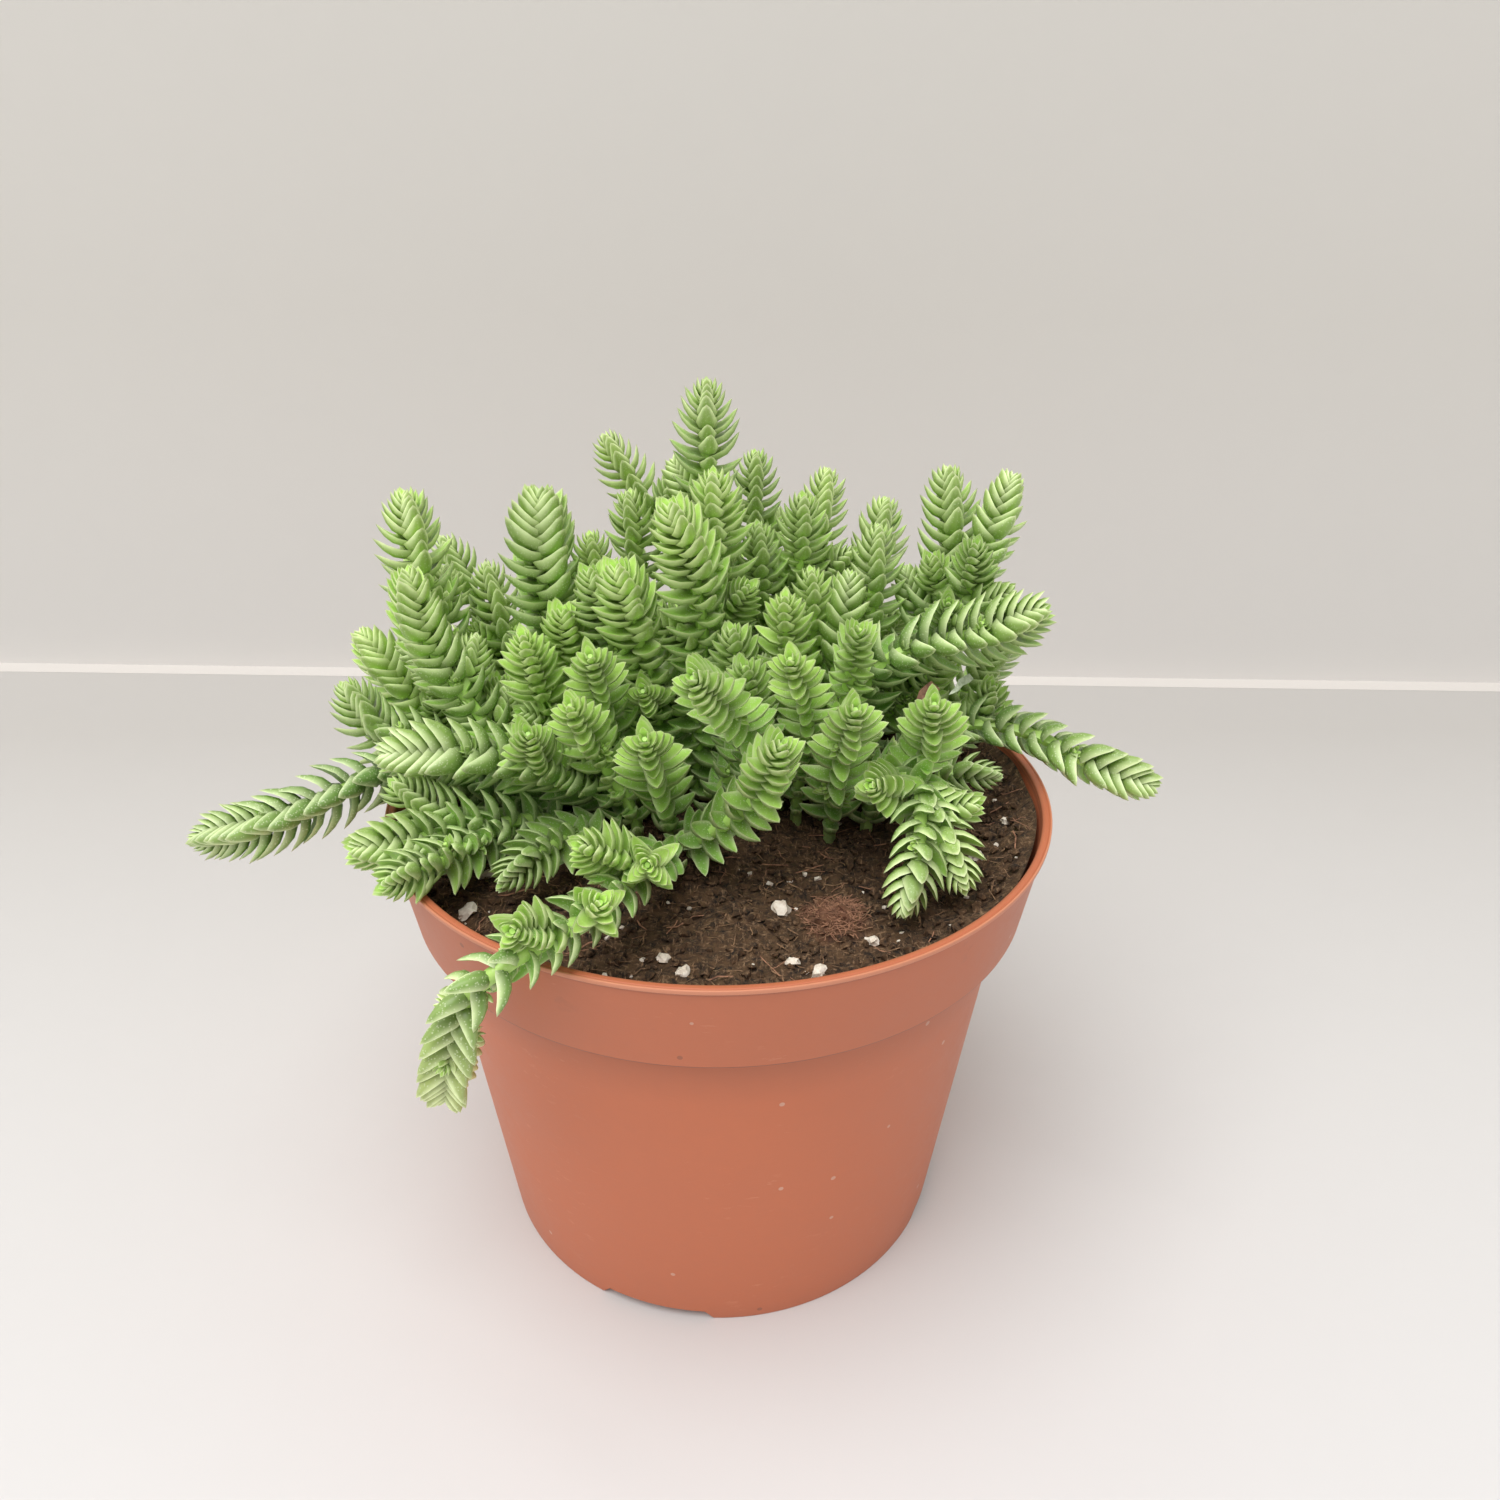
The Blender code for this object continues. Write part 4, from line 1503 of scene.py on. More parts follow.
LEAF_STANCES = (
    LeafStance(0.2, 0.46, 1.8, 0.64, 0.50, 13.0),
    LeafStance(1.2, 0.57, 3.0, 1.06, 0.68, 28.0),
    LeafStance(2.5, 0.67, 4.1, 1.38, 0.84, 38.0),
    LeafStance(3.8, 0.76, 4.8, 1.58, 0.96, 45.0),
    LeafStance(5.7, 0.88, 5.5, 1.70, 1.08, 53.0),
    LeafStance(7.5, 1.00, 5.9, 1.76, 1.16, 58.0),
    LeafStance(10.0, 1.22, 6.2, 1.78, 1.22, 63.0),
    LeafStance(14.0, 1.58, 6.4, 1.78, 1.28, 68.0),
    LeafStance(19.0, 1.90, 6.5, 1.74, 1.32, 72.0),
    LeafStance(30.0, 2.15, 6.4, 1.70, 1.34, 77.0),
    LeafStance(60.0, 2.30, 6.1, 1.62, 1.34, 85.0),
)


def stance_at(distance: float) -> LeafStance:
    """The stance of the leaves at a distance from the tip.

    Args:
        distance: The distance in millimetres.

    Returns:
        The stance there.
    """
    for before, after in zip(LEAF_STANCES, LEAF_STANCES[1:]):
        if distance <= after.distance:
            return before.towards(after, max(distance, before.distance))
    return LEAF_STANCES[-1]


# Stems


@dataclass(frozen=True)
class StemPlan:
    """One stem: its root, its points, its branches as (share of its length, points), and its leaves.

    Fullness is a factor on the leaves' size, slimness one on their width, and packing one on the
    steps between pairs. Openness is how soon they spread below the tip, and most_spread the limit
    of their angle from the stem. One rank faces the front where the turn is 0, and two share it at
    45 degrees. Pallor makes the tip pale and dotted, and shade darkens all leaves with painted shade,
    each up to 1. A twiggy stem may carry short twigs.
    """

    name: str
    root: tuple[float, float]
    points: tuple[Point, ...]
    branches: tuple[tuple[float, tuple[Point, ...]], ...] = ()
    fullness: float = 1.0
    turn_deg: float = 20.0
    openness: float = 1.0
    pallor: float = 0.0
    packing: float = 1.0
    shade: float = 0.0
    slimness: float = 1.0
    most_spread: float = 90.0
    twiggy: bool = True


# How the leaves stand on the short shoots that face the viewer
ROSETTE = {"openness": 1.25, "packing": 1.04, "slimness": 0.92, "most_spread": 66.0}

STEM_PLANS = (
    # Crown, from the tallest stem forwards
    StemPlan("crown_1", (-1, 17), ((-1, 17, 112), (-2, 16, 135), (-2, 15, 158)), fullness=1.06,
             turn_deg=4),
    StemPlan("crown_2", (2, 9), ((1, 8, 112), (0, 8, 128), (-1, 6, 145)), fullness=1.05, turn_deg=0),
    StemPlan("crown_3", (-5, 7), ((-3, 3, 112), (-4, 0, 128), (-8, -3, 142)), fullness=1.2, turn_deg=35,
             openness=1.2, packing=0.88),
    StemPlan("crown_4", (9, 17), ((8, 16, 112), (7, 16, 133)), turn_deg=12),
    StemPlan("crown_5", (15, 22), ((17, 23, 116), (20, 27, 140)),
             ((0.38, ((15, 19, 120), (15, 17, 138))),), turn_deg=5),
    StemPlan("crown_6", (11, 4), ((12, 1, 108), (11, -4, 127)), fullness=0.95, turn_deg=0, openness=1.1,
             packing=1.12, most_spread=66.0),
    StemPlan("crown_7", (15, 11), ((17, 7, 110), (16, 6, 128)), fullness=0.9, turn_deg=5, openness=1.1,
             packing=1.1, most_spread=66.0),
    StemPlan("crown_8", (4, 2), ((3, -2, 106), (2, -6, 122)), turn_deg=24, openness=1.1, packing=1.05,
             most_spread=66.0),
    # Back
    StemPlan("back_1", (6, 31), ((7, 34, 116), (7, 37, 141)), turn_deg=6),
    StemPlan("back_2", (-6, 33), ((-9, 37, 118), (-16, 40, 133), (-22, 42, 143)), turn_deg=18,
             pallor=0.15),
    StemPlan("back_3", (-13, 25), ((-15, 28, 112), (-17, 30, 135)), turn_deg=0),
    StemPlan("back_4", (24, 30), ((30, 35, 112), (33, 39, 131)), fullness=1.15, turn_deg=5, shade=0.15),
    StemPlan("back_5", (-25, 33), ((-32, 40, 100), (-39, 46, 113)), turn_deg=33),
    StemPlan("back_6", (-12, 42), ((-17, 51, 98), (-21, 57, 112)), turn_deg=8),
    StemPlan("back_7", (2, 43), ((2, 53, 100), (2, 57, 117)), turn_deg=41),
    StemPlan("back_8", (15, 41), ((20, 50, 98), (24, 55, 111)), turn_deg=15),
    StemPlan("back_9", (32, 33), ((40, 42, 98), (46, 47, 111)), turn_deg=28),
    StemPlan("back_10", (-33, 25), ((-46, 35, 95), (-58, 40, 103)), turn_deg=5),
    StemPlan("back_11", (-19, 24), ((-27, 26, 104), (-30, 30, 118)), turn_deg=37),
    StemPlan("back_12", (15, 32), ((17, 41, 106), (17, 45, 123)), turn_deg=11),
    # Left
    StemPlan("left_1", (-33, 7), ((-44, 9, 100), (-53, 12, 122), (-55, 14, 139)), fullness=1.15,
             turn_deg=40, openness=1.25, packing=0.78),
    StemPlan("left_2", (-32, 17), ((-42, 24, 106), (-53, 30, 126)), turn_deg=10),
    StemPlan("left_3", (-25, 18), ((-38, 18, 103), (-44, 24, 123)), turn_deg=26),
    StemPlan("left_4", (-30, -1), ((-42, 0, 102), (-51, 2, 117), (-53, 2, 129)), fullness=1.15,
             turn_deg=-8, packing=0.88),
    StemPlan("left_5", (-41, 13), ((-54, 14, 95), (-67, 17, 112)), fullness=1.15, turn_deg=0,
             packing=0.88),
    StemPlan("left_6", (-39, 3), ((-53, 3, 95), (-62, 3, 99), (-67, 4, 107)), fullness=1.2, turn_deg=42,
             packing=0.88),
    StemPlan("left_7", (-22, 10), ((-29, 9, 108), (-31, 8, 124), (-31, 10, 140)),
             ((0.3, ((-27, 3, 113), (-27, 0, 123))),), fullness=1.42, turn_deg=38, openness=1.5,
             packing=0.74, shade=0.15),
    StemPlan("left_8", (-15, 14), ((-21, 13, 110), (-23, 14, 132)), fullness=0.9, turn_deg=10),
    StemPlan("left_9", (-23, 1), ((-31, -1, 107), (-33, -6, 121)), turn_deg=8),
    StemPlan("left_10", (-11, 6), ((-12, 2, 106), (-14, 0, 117), (-17, -4, 132)),
             ((0.4, ((-19, 3, 117), (-22, 0, 130))),), fullness=1.2, turn_deg=38, openness=1.25,
             packing=0.8),
    StemPlan("left_11", (-17, -3), ((-27, -10, 98), (-40, -14, 103), (-55, -16, 104)),
             ((0.36, ((-31, -15, 103), (-31, -20, 110))),), fullness=1.25, turn_deg=28, openness=1.2,
             pallor=0.05, packing=0.85, shade=0.3, most_spread=64.0, twiggy=False),
    StemPlan("left_12", (-29, -8), ((-40, -17, 91), (-48, -26, 94), (-57, -32, 96)),
             ((0.42, ((-44, -29, 92), (-51, -39, 94))), (0.5, ((-49, -20, 96), (-53, -21, 101)))),
             fullness=1.15, turn_deg=36, openness=1.2, packing=0.9, shade=0.4, most_spread=62.0),
    StemPlan("left_13", (-21, -12), ((-28, -22, 90), (-35, -31, 89)), turn_deg=30, shade=0.9),
    # Front
    StemPlan("front_1", (-16, 3), ((-20, -4, 106), (-21, -14, 121)), turn_deg=12, **ROSETTE),
    StemPlan("front_2", (-15, -9), ((-21, -12, 102), (-24, -20, 115)), fullness=0.95, turn_deg=5,
             **ROSETTE),
    StemPlan("front_3", (-9, -8), ((-11, -14, 99), (-12, -24, 111)), fullness=1.12, turn_deg=7, **ROSETTE),
    StemPlan("front_4", (7, -3), ((7, -11, 103), (3, -21, 113), (-4, -34, 126)), turn_deg=0, openness=1.2,
             packing=0.95, shade=0.1, slimness=0.94, most_spread=66.0),
    StemPlan("front_5", (-1, -3), ((5, -8, 104), (4, -14, 119)), fullness=0.95, shade=0.2, **ROSETTE),
    StemPlan("front_6", (14, -2), ((15, -10, 108), (11, -20, 123)), fullness=0.85, turn_deg=0, shade=0.2,
             **ROSETTE),
    StemPlan("front_7", (-5, -13), ((-3, -20, 90), (5, -27, 101), (9, -34, 115)), fullness=1.05,
             turn_deg=10, openness=1.2, packing=0.98, slimness=0.94, most_spread=66.0),
    StemPlan("front_8", (20, -6), ((20, -15, 101), (21, -26, 117)), fullness=1.02, turn_deg=2, shade=0.3,
             **ROSETTE),
    StemPlan("front_9", (27, -4), ((33, -16, 99), (32, -30, 95), (29, -37, 87)),
             ((0.4, ((28, -21, 100), (24, -27, 104))), (0.46, ((38, -20, 96), (42, -23, 98))),
             (0.58, ((37, -27, 93), (39, -33, 89)))), turn_deg=0, packing=1.15, shade=0.25, slimness=1.05,
             most_spread=60.0, twiggy=False),
    # Right
    StemPlan("right_1", (29, 19), ((39, 16, 114), (43, 20, 127), (42, 24, 141)),
             ((0.4, ((44, 12, 118), (49, 16, 130), (53, 20, 141))),
             (0.24, ((38, 13, 103), (43, 11, 111)))), fullness=1.12, turn_deg=3, shade=0.1),
    StemPlan("right_2", (22, 16), ((28, 15, 114), (29, 18, 132)), turn_deg=6, shade=0.3),
    StemPlan("right_3", (23, 9), ((28, 5, 110), (38, 4, 116), (46, 1, 119), (55, -2, 124)), fullness=1.2,
             turn_deg=-12, openness=1.25, packing=0.9, shade=0.25, most_spread=62.0, twiggy=False),
    StemPlan("right_4", (19, 1), ((22, -4, 109), (23, -10, 124)),
             ((0.3, ((21, 3, 112), (23, 9, 126))),), fullness=0.85, turn_deg=45, openness=1.2,
             packing=1.05, shade=0.15, slimness=0.94, most_spread=66.0),
    StemPlan("right_5", (28, 3), ((35, -12, 102), (34, -22, 116)), fullness=1.05, turn_deg=0,
             openness=1.2, packing=1.05, shade=0.15, slimness=0.94, most_spread=66.0),
    StemPlan("right_6", (33, 10), ((45, 6, 98), (57, 1, 99), (66, -4, 96), (77, -8, 93)),
             ((0.28, ((48, 8, 99), (50, 6, 106))),), fullness=1.04, turn_deg=-6, openness=1.2, pallor=0.1,
             shade=0.35, most_spread=60.0, twiggy=False),
    StemPlan("right_7", (38, 22), ((50, 27, 95), (59, 30, 107)), turn_deg=12, shade=0.3),
    StemPlan("right_8", (36, 0), ((41, -2, 92), (50, -4, 93)), fullness=0.85, turn_deg=25, shade=0.9),
    # Front-left trailing stem, over the rim and down outside it
    StemPlan("trail_front", (-9, -20), ((-11, -29, 91), (-17, -42, 93), (-23, -52, 94), (-29, -60, 95),
             (-35, -61, 90), (-39, -58, 79), (-42, -54, 65)),
             ((0.26, ((-17, -36, 97), (-21, -40, 101))), (0.26, ((-11, -37, 96), (-11, -42, 99))),
             (0.42, ((-18, -51, 97), (-17, -53, 100))), (0.5, ((-27, -57, 98), (-28, -61, 101)))),
             turn_deg=45, openness=1.1, pallor=1.0, slimness=0.88, most_spread=56.0, twiggy=False),
    # Left trailing stem, over the rim
    StemPlan("trail_left", (-36, -4), ((-50, -6, 94), (-59, -10, 97), (-74, -18, 93), (-87, -21, 91)),
             fullness=1.08, turn_deg=42, openness=0.95, pallor=0.1, packing=0.75, shade=0.95,
             most_spread=56.0, twiggy=False),
)


def smooth_path(points: Sequence[Vector], start: Vector, step: float = 0.5) -> list[Vector]:
    """Points on one smooth curve through the given points.

    Args:
        points: The places that it passes.
        start: Its direction at the first of them.
        step: The distance between points, in millimetres.

    Returns:
        The points of the curve.
    """
    spans = [(after - before).length for before, after in zip(points, points[1:])]
    slopes = [start.normalized()]
    for index in range(1, len(points) - 1):
        slopes.append((points[index + 1] - points[index - 1]) / (spans[index] + spans[index - 1]))
    slopes.append((points[-1] - points[-2]).normalized())
    path = [points[0]]
    for index, span in enumerate(spans):
        steps = max(2, round(span / step))
        for number in range(1, steps + 1):
            t = number / steps
            path.append(
                points[index] * (2 * t**3 - 3 * t**2 + 1)
                + slopes[index] * (span * (t**3 - 2 * t**2 + t))
                + points[index + 1] * (3 * t**2 - 2 * t**3)
                + slopes[index + 1] * (span * (t**3 - t**2))
            )
    return path


@dataclass(eq=False)
class Shoot:
    """The path of one stem, branch or bud, with a side direction that follows it without twisting.

    Twist is the turn of its four ranks of leaves in radians, and bare the length without leaves at
    its foot. Within is how much painted shade darkens it for standing among other shoots. The
    direction that the first side is measured from has a tilt, so that no level path runs along it.
    """

    plan: StemPlan
    path: list[Vector]
    twist: float
    bare: float
    fullness: float
    within: float = 0.0
    pallor: float = 0.0
    side_tilt: float = 0.21
    lengths: list[float] = field(default_factory=lambda: [0.0])
    sides: list[Vector] = field(default_factory=list)

    def __post_init__(self) -> None:
        """Measure the path and carry a side direction along it."""
        for before, after in zip(self.path, self.path[1:]):
            self.lengths.append(self.lengths[-1] + (after - before).length)
        forward = (self.path[1] - self.path[0]).normalized()
        around = Vector((math.cos(self.twist), math.sin(self.twist), self.side_tilt))
        side = forward.cross(around).normalized()
        for index in range(len(self.path)):
            forward = self.direction(index)
            side = (side - forward * side.dot(forward)).normalized()
            self.sides.append(side)

    @property
    def length(self) -> float:
        """Length of the whole path."""
        return self.lengths[-1]

    def direction(self, index: int) -> Vector:
        """Forward direction at a point of the path.

        Args:
            index: Which point, from the root.

        Returns:
            The direction, of unit length.
        """
        after = min(index + 1, len(self.path) - 1)
        before = max(index - 1, 0)
        return (self.path[after] - self.path[before]).normalized()

    def at(self, distance: float) -> tuple[Vector, Vector, Vector, Vector]:
        """Place, forward direction and two side directions at a distance along the path.

        Args:
            distance: The distance from the root in millimetres.

        Returns:
            The place and the three directions.
        """
        index = min(range(len(self.lengths)), key=lambda i: abs(self.lengths[i] - distance))
        forward = self.direction(index)
        side = self.sides[index]
        place = self.path[index] + forward * (distance - self.lengths[index])
        return place, forward, side, forward.cross(side)


class Room:
    """Knows where every shoot runs, and where the pot and the soil are."""

    def __init__(self, shoots: Iterable[Shoot], soil: Soil) -> None:
        """Mark every shoot's path.

        Args:
            shoots: All shoots of the plant.
            soil: The soil that they stand in.
        """
        self.soil = soil
        marks = [(place, shoot) for shoot in shoots for place in shoot.path[::2]]
        self.owners = [shoot for _, shoot in marks]
        self.tree = kdtree.KDTree(len(marks))
        for index, (place, _) in enumerate(marks):
            self.tree.insert(place, index)
        self.tree.balance()

    def in_pot_or_soil(self, point: Vector, clearance: float) -> bool:
        """True where a point is in the soil, the pot's wall or its lip, or too near to them.

        Args:
            point: The place in millimetres.
            clearance: How near is too near.

        Returns:
            Whether it is.
        """
        pot = self.soil.pot
        radius = math.hypot(point.x, point.y)
        if radius < pot.collar_foot_radius - pot.wall - clearance:
            return point.z < self.soil.height(point.x, point.y) + clearance
        if radius < pot.rim_radius + clearance:
            return point.z < pot.height + clearance
        return False

    def crossed(self, point: Vector, own: Shoot, clearance: float) -> bool:
        """True where a point is within a clearance of another shoot's middle line."""
        return any(self.owners[index] is not own for _, index, _ in self.tree.find_range(point, clearance))


@dataclass(frozen=True)
class SideGrowth:
    """Small growth from the leaf axils: where along a shoot, how often, how long and how full.

    It keeps behind a place along Y, and clear of other shoots by its room. The axils are turns about
    the shoot, in half turns.
    """

    zone: tuple[float, float]
    behind: float
    every: float
    length: tuple[float, float]
    fullness: float
    bare: float
    room: float
    within: float
    follow: float = 0.6
    rise: float = 0.4
    bow: float = 0.3
    steps: tuple[float, float] = (0.6, 1.4)
    axils: tuple[float, ...] = (0.25, 0.75, 1.25, 1.75)
    clear_of_pot: float = 2.0
    clear_of_foot: float = 3.0

    def on(self, shoot: Shoot, room: Room, taken: list[Vector], chance: random.Random) -> list[Shoot]:
        """Grow it on one shoot, wherever there is room.

        Args:
            shoot: The shoot that carries it.
            room: Where the other shoots, the pot and the soil are.
            taken: The tips of all side growth so far, which this adds to.
            chance: The draw of places and sizes.

        Returns:
            The new short shoots.
        """
        grown = []
        near, far = self.zone
        from_tip = near + chance.uniform(0, self.every)
        while from_tip < min(far, shoot.length - shoot.bare - self.clear_of_foot):
            place, forward, side, across = shoot.at(shoot.length - from_tip)
            turn = chance.choice(self.axils) * math.pi
            outwards = side * math.cos(turn) + across * math.sin(turn)
            ahead = (outwards + forward * self.follow + Vector((0, 0, self.rise))).normalized()
            tip = place + ahead * chance.uniform(*self.length)
            clear = (
                place.y > self.behind
                and not room.in_pot_or_soil(tip, self.clear_of_pot)
                and not room.crossed(tip, shoot, self.room)
                and all((tip - other).length > self.room for other in taken)
            )
            if clear:
                path = smooth_path((place, (place + tip) / 2 + outwards * self.bow, tip), outwards)
                twist = chance.uniform(0, math.pi)
                grown.append(Shoot(shoot.plan, path, twist, self.bare, self.fullness, self.within))
                taken.append(tip)
            from_tip += self.every * chance.uniform(*self.steps)
        return grown


@dataclass
class Plant:
    """All the leafy stems.

    A leaf that would meet the pot, the soil or another stem is tried again, shorter and nearer to
    its own stem: each try is a share of its length and of its spread. A leaf longer than the first
    of the age lengths is young, and one longer than the second is grown. The core share and the
    step share are what a small shoot keeps of its stem's thickness and of the steps between pairs.
    """

    soil: Soil
    stem_foot_z: float = 75.5
    upright_to_z: float = 84.0
    bare_branch: float = 2.5
    branch_fullness: float = 1.02
    branch_follows: float = 0.4
    turn_jitter_deg: float = 6.0
    stem_radius: float = 1.15
    tip_radius: float = 0.45
    taper: float = 9.0
    root_sink: float = 0.35
    clearance: float = 0.35
    stem_clearance: float = 1.5
    core_share: float = 0.5
    step_share: float = 0.6
    core_steps: int = 4
    core_age_and_tone: tuple[float, float] = (0.8, 0.4)
    bark_height: float = 14.0
    age_lengths: tuple[float, float] = (2.6, 4.7)
    first_pair: float = 0.2
    tip_looseness: float = 0.35
    loose_from: float = 12.0
    aside_deg: float = 7.0
    spread_deg: float = 8.0
    roll_deg: float = 10.0
    shift: float = 0.12
    sizes: tuple[float, float] = (0.90, 1.07)
    own_tone: float = 0.6
    old_from: float = 34.0
    pale_length: float = 34.0
    tries: tuple[tuple[float, float], ...] = ((1.0, 1.0), (0.92, 0.75), (0.8, 0.55), (0.66, 0.4))
    tufts: SideGrowth = SideGrowth(
        zone=(10.0, 44.0), behind=-99.0, every=7.5, length=(2.0, 3.6), fullness=0.50, bare=1.0,
        room=2.6, within=0.0,
    )
    twigs: SideGrowth = SideGrowth(
        zone=(19.0, 66.0), behind=-2.0, every=5.0, length=(8.0, 12.0), fullness=0.92, bare=2.0,
        room=4.2, within=0.25,
    )
    chance: random.Random = field(default_factory=lambda: random.Random(SEED))
    patterns: dict[LeafAge, bpy.types.Object] = field(default_factory=dict)

    def shoots_of(self, plan: StemPlan) -> list[Shoot]:
        """The stem's own shoot and one for each branch.

        Args:
            plan: The stem.

        Returns:
            Its shoots, the stem's own first.
        """
        foot = Vector((*plan.root, self.stem_foot_z))
        neck = Vector((*plan.root, self.upright_to_z))
        up = Vector((0, 0, 1))
        path = smooth_path((foot, neck), up)[:-1]
        path += smooth_path((neck, *map(Vector, plan.points)), up)
        bare = self.upright_to_z - self.stem_foot_z
        own = Shoot(plan, path, self.turn_of(plan), bare, plan.fullness, pallor=plan.pallor)
        shoots = [own]
        for share, points in plan.branches:
            fork, forward, _, _ = own.at(share * own.length)
            outwards = (Vector(points[0]) - fork).normalized()
            path = smooth_path((fork, *map(Vector, points)), forward * self.branch_follows + outwards)
            shoots.append(Shoot(plan, path, self.turn_of(plan), self.bare_branch, self.branch_fullness))
        return shoots

    def turn_of(self, plan: StemPlan) -> float:
        """The turn of a shoot's ranks in radians, a little off the plan's."""
        return math.radians(plan.turn_deg + self.either_way(self.chance, self.turn_jitter_deg))

    def stem_core(self, shoot: Shoot) -> bpy.types.Object:
        """The green stem under the leaves.

        Args:
            shoot: The shoot that it carries.

        Returns:
            A closed tube.
        """
        deselect_all()
        bpy.ops.curve.primitive_nurbs_path_add(location=(0, 0, 0))
        item = bpy.context.object
        curve = item.data
        curve.splines.clear()
        spline = curve.splines.new("POLY")
        points = shoot.path[:: self.core_steps] + [shoot.path[-1]]
        spline.points.add(len(points) - 1)
        thin = min(1.0, self.core_share + (1.0 - self.core_share) * shoot.fullness)
        for index, (point, place) in enumerate(zip(spline.points, points)):
            from_tip = shoot.length - shoot.lengths[min(self.core_steps * index, len(shoot.path) - 1)]
            share = min(1.0, from_tip / self.taper)
            point.co = (*(place * MM), 1.0)
            point.radius = (self.tip_radius + (self.stem_radius - self.tip_radius) * share) * thin
        curve.dimensions = "3D"
        curve.bevel_depth = MM
        curve.bevel_resolution = 1
        curve.use_fill_caps = True
        select_only([item], item)
        bpy.ops.object.convert(target="MESH")
        smooth_by_angle(item, 60.0)
        count = len(item.data.vertices)
        form = item.data.attributes.new("leaf_form", "FLOAT_VECTOR", "POINT")
        form.data.foreach_set("vector", [0.0, 0.0, 0.0] * count)
        life = item.data.attributes.new("leaf_life", "FLOAT_VECTOR", "POINT")
        item.data.attributes.new("leaf_pallor", "FLOAT", "POINT")
        woody = []
        for vertex in item.data.vertices:
            height = vertex.co.z / MM - self.soil.level
            woody += [*self.core_age_and_tone, max(0.0, min(1.0, 1.0 - height / self.bark_height))]
        life.data.foreach_set("vector", woody)
        return item

    def leaf(
        self, stance: LeafStance, place: Matrix, size: float, slimness: float, life: Point, pallor: float
    ) -> bpy.types.Object:
        """One leaf at its place.

        Args:
            stance: Its size.
            place: Its root and directions, in millimetres.
            size: A factor on its size.
            slimness: A factor on its width.
            life: Its age from 0 to 1, a number that varies its colour and carries its painted shade, and 0
                for its wood.
            pallor: How pale and dotted it is.

        Returns:
            The leaf.
        """
        form = LEAF_PATTERNS[sum(stance.length >= length for length in self.age_lengths)]
        fit = Matrix.Diagonal(
            (
                stance.half_width * slimness * size / form.half_width,
                stance.thickness * size / form.thickness,
                stance.length * size / form.length,
                1.0,
            )
        )
        in_metres = place.copy()
        in_metres.translation *= MM
        item = copy_at(self.patterns[form.age], in_metres @ fit)
        count = len(item.data.vertices)
        item.data.attributes["leaf_life"].data.foreach_set("vector", list(life) * count)
        item.data.attributes["leaf_pallor"].data.foreach_set("value", [pallor] * count)
        return item

    @staticmethod
    def either_way(chance: random.Random, most: float) -> float:
        """A random number between the most and its negative."""
        return chance.uniform(-most, most)

    @staticmethod
    def leaf_place(root: Vector, forward: Vector, outwards: Vector, spread: float, roll: float) -> Matrix:
        """Where a leaf stands.

        Args:
            root: Its root.
            forward: The shoot's direction.
            outwards: The side of the shoot that it grows from.
            spread: Its angle from the shoot, in radians.
            roll: Its turn about its own length, in radians.

        Returns:
            A matrix whose Z runs along the leaf and whose Y is its upper side.
        """
        along = forward * math.cos(spread) + outwards * math.sin(spread)
        upper = forward * math.sin(spread) - outwards * math.cos(spread)
        upper = Matrix.Rotation(roll, 3, along) @ upper
        turn = Matrix((upper.cross(along), upper, along)).transposed().to_4x4()
        return Matrix.Translation(root) @ turn

    def dress(self, shoot: Shoot, room: Room, chance: random.Random) -> list[bpy.types.Object]:
        """The leaves of one shoot, in crossed pairs from the tip down.

        Args:
            shoot: The shoot.
            room: What the leaves must keep clear of.
            chance: The draw of small differences.

        Returns:
            Its leaves.
        """
        plan, leaves = shoot.plan, []
        own_tone = chance.random()
        from_tip, pair = self.first_pair, 0
        while from_tip < shoot.length - shoot.bare:
            stance = stance_at(from_tip / shoot.fullness * plan.openness)
            place, forward, side, across = shoot.at(shoot.length - from_tip)
            loose = self.tip_looseness + (1.0 - self.tip_looseness) * min(1.0, from_tip / self.loose_from)
            age = min(1.0, from_tip / self.old_from)
            pallor = shoot.pallor * max(0.0, 1.0 - from_tip / self.pale_length)
            for outwards in ((across, -across) if pair % 2 == 0 else (side, -side)):
                aside = math.radians(self.either_way(chance, self.aside_deg) * loose)
                outwards = Matrix.Rotation(aside, 3, forward) @ outwards
                root = place + outwards * self.root_sink + forward * self.either_way(chance, self.shift)
                swing = self.either_way(chance, self.spread_deg) * loose
                spread = min(stance.spread_deg, plan.most_spread) + swing
                roll = math.radians(self.either_way(chance, self.roll_deg) * loose)
                size = shoot.fullness * chance.uniform(*self.sizes)
                tone_and_shade = self.own_tone * own_tone + (1.0 - self.own_tone) * chance.random()
                # Painted shade: the plan's shade and the shoot's within darken the tone that differs at
                # random
                tone_and_shade = tone_and_shade - plan.shade - shoot.within
                for shrink, fold in self.tries:
                    matrix = self.leaf_place(root, forward, outwards, math.radians(spread * fold), roll)
                    tip = matrix @ Vector((0.0, 0.0, stance.length * size * shrink))
                    middle = matrix @ Vector((0.0, -stance.thickness, stance.length * size * shrink * 0.5))
                    if not (
                        room.in_pot_or_soil(tip, self.clearance)
                        or room.in_pot_or_soil(middle, self.clearance)
                        or room.crossed(tip, shoot, self.stem_clearance)
                    ):
                        life = (age, tone_and_shade, 0.0)
                        leaves.append(self.leaf(stance, matrix, size * shrink, plan.slimness, life, pallor))
                        break
            step = self.step_share + (1.0 - self.step_share) * shoot.fullness
            from_tip += stance.spacing * step * plan.packing
            pair += 1
        return leaves

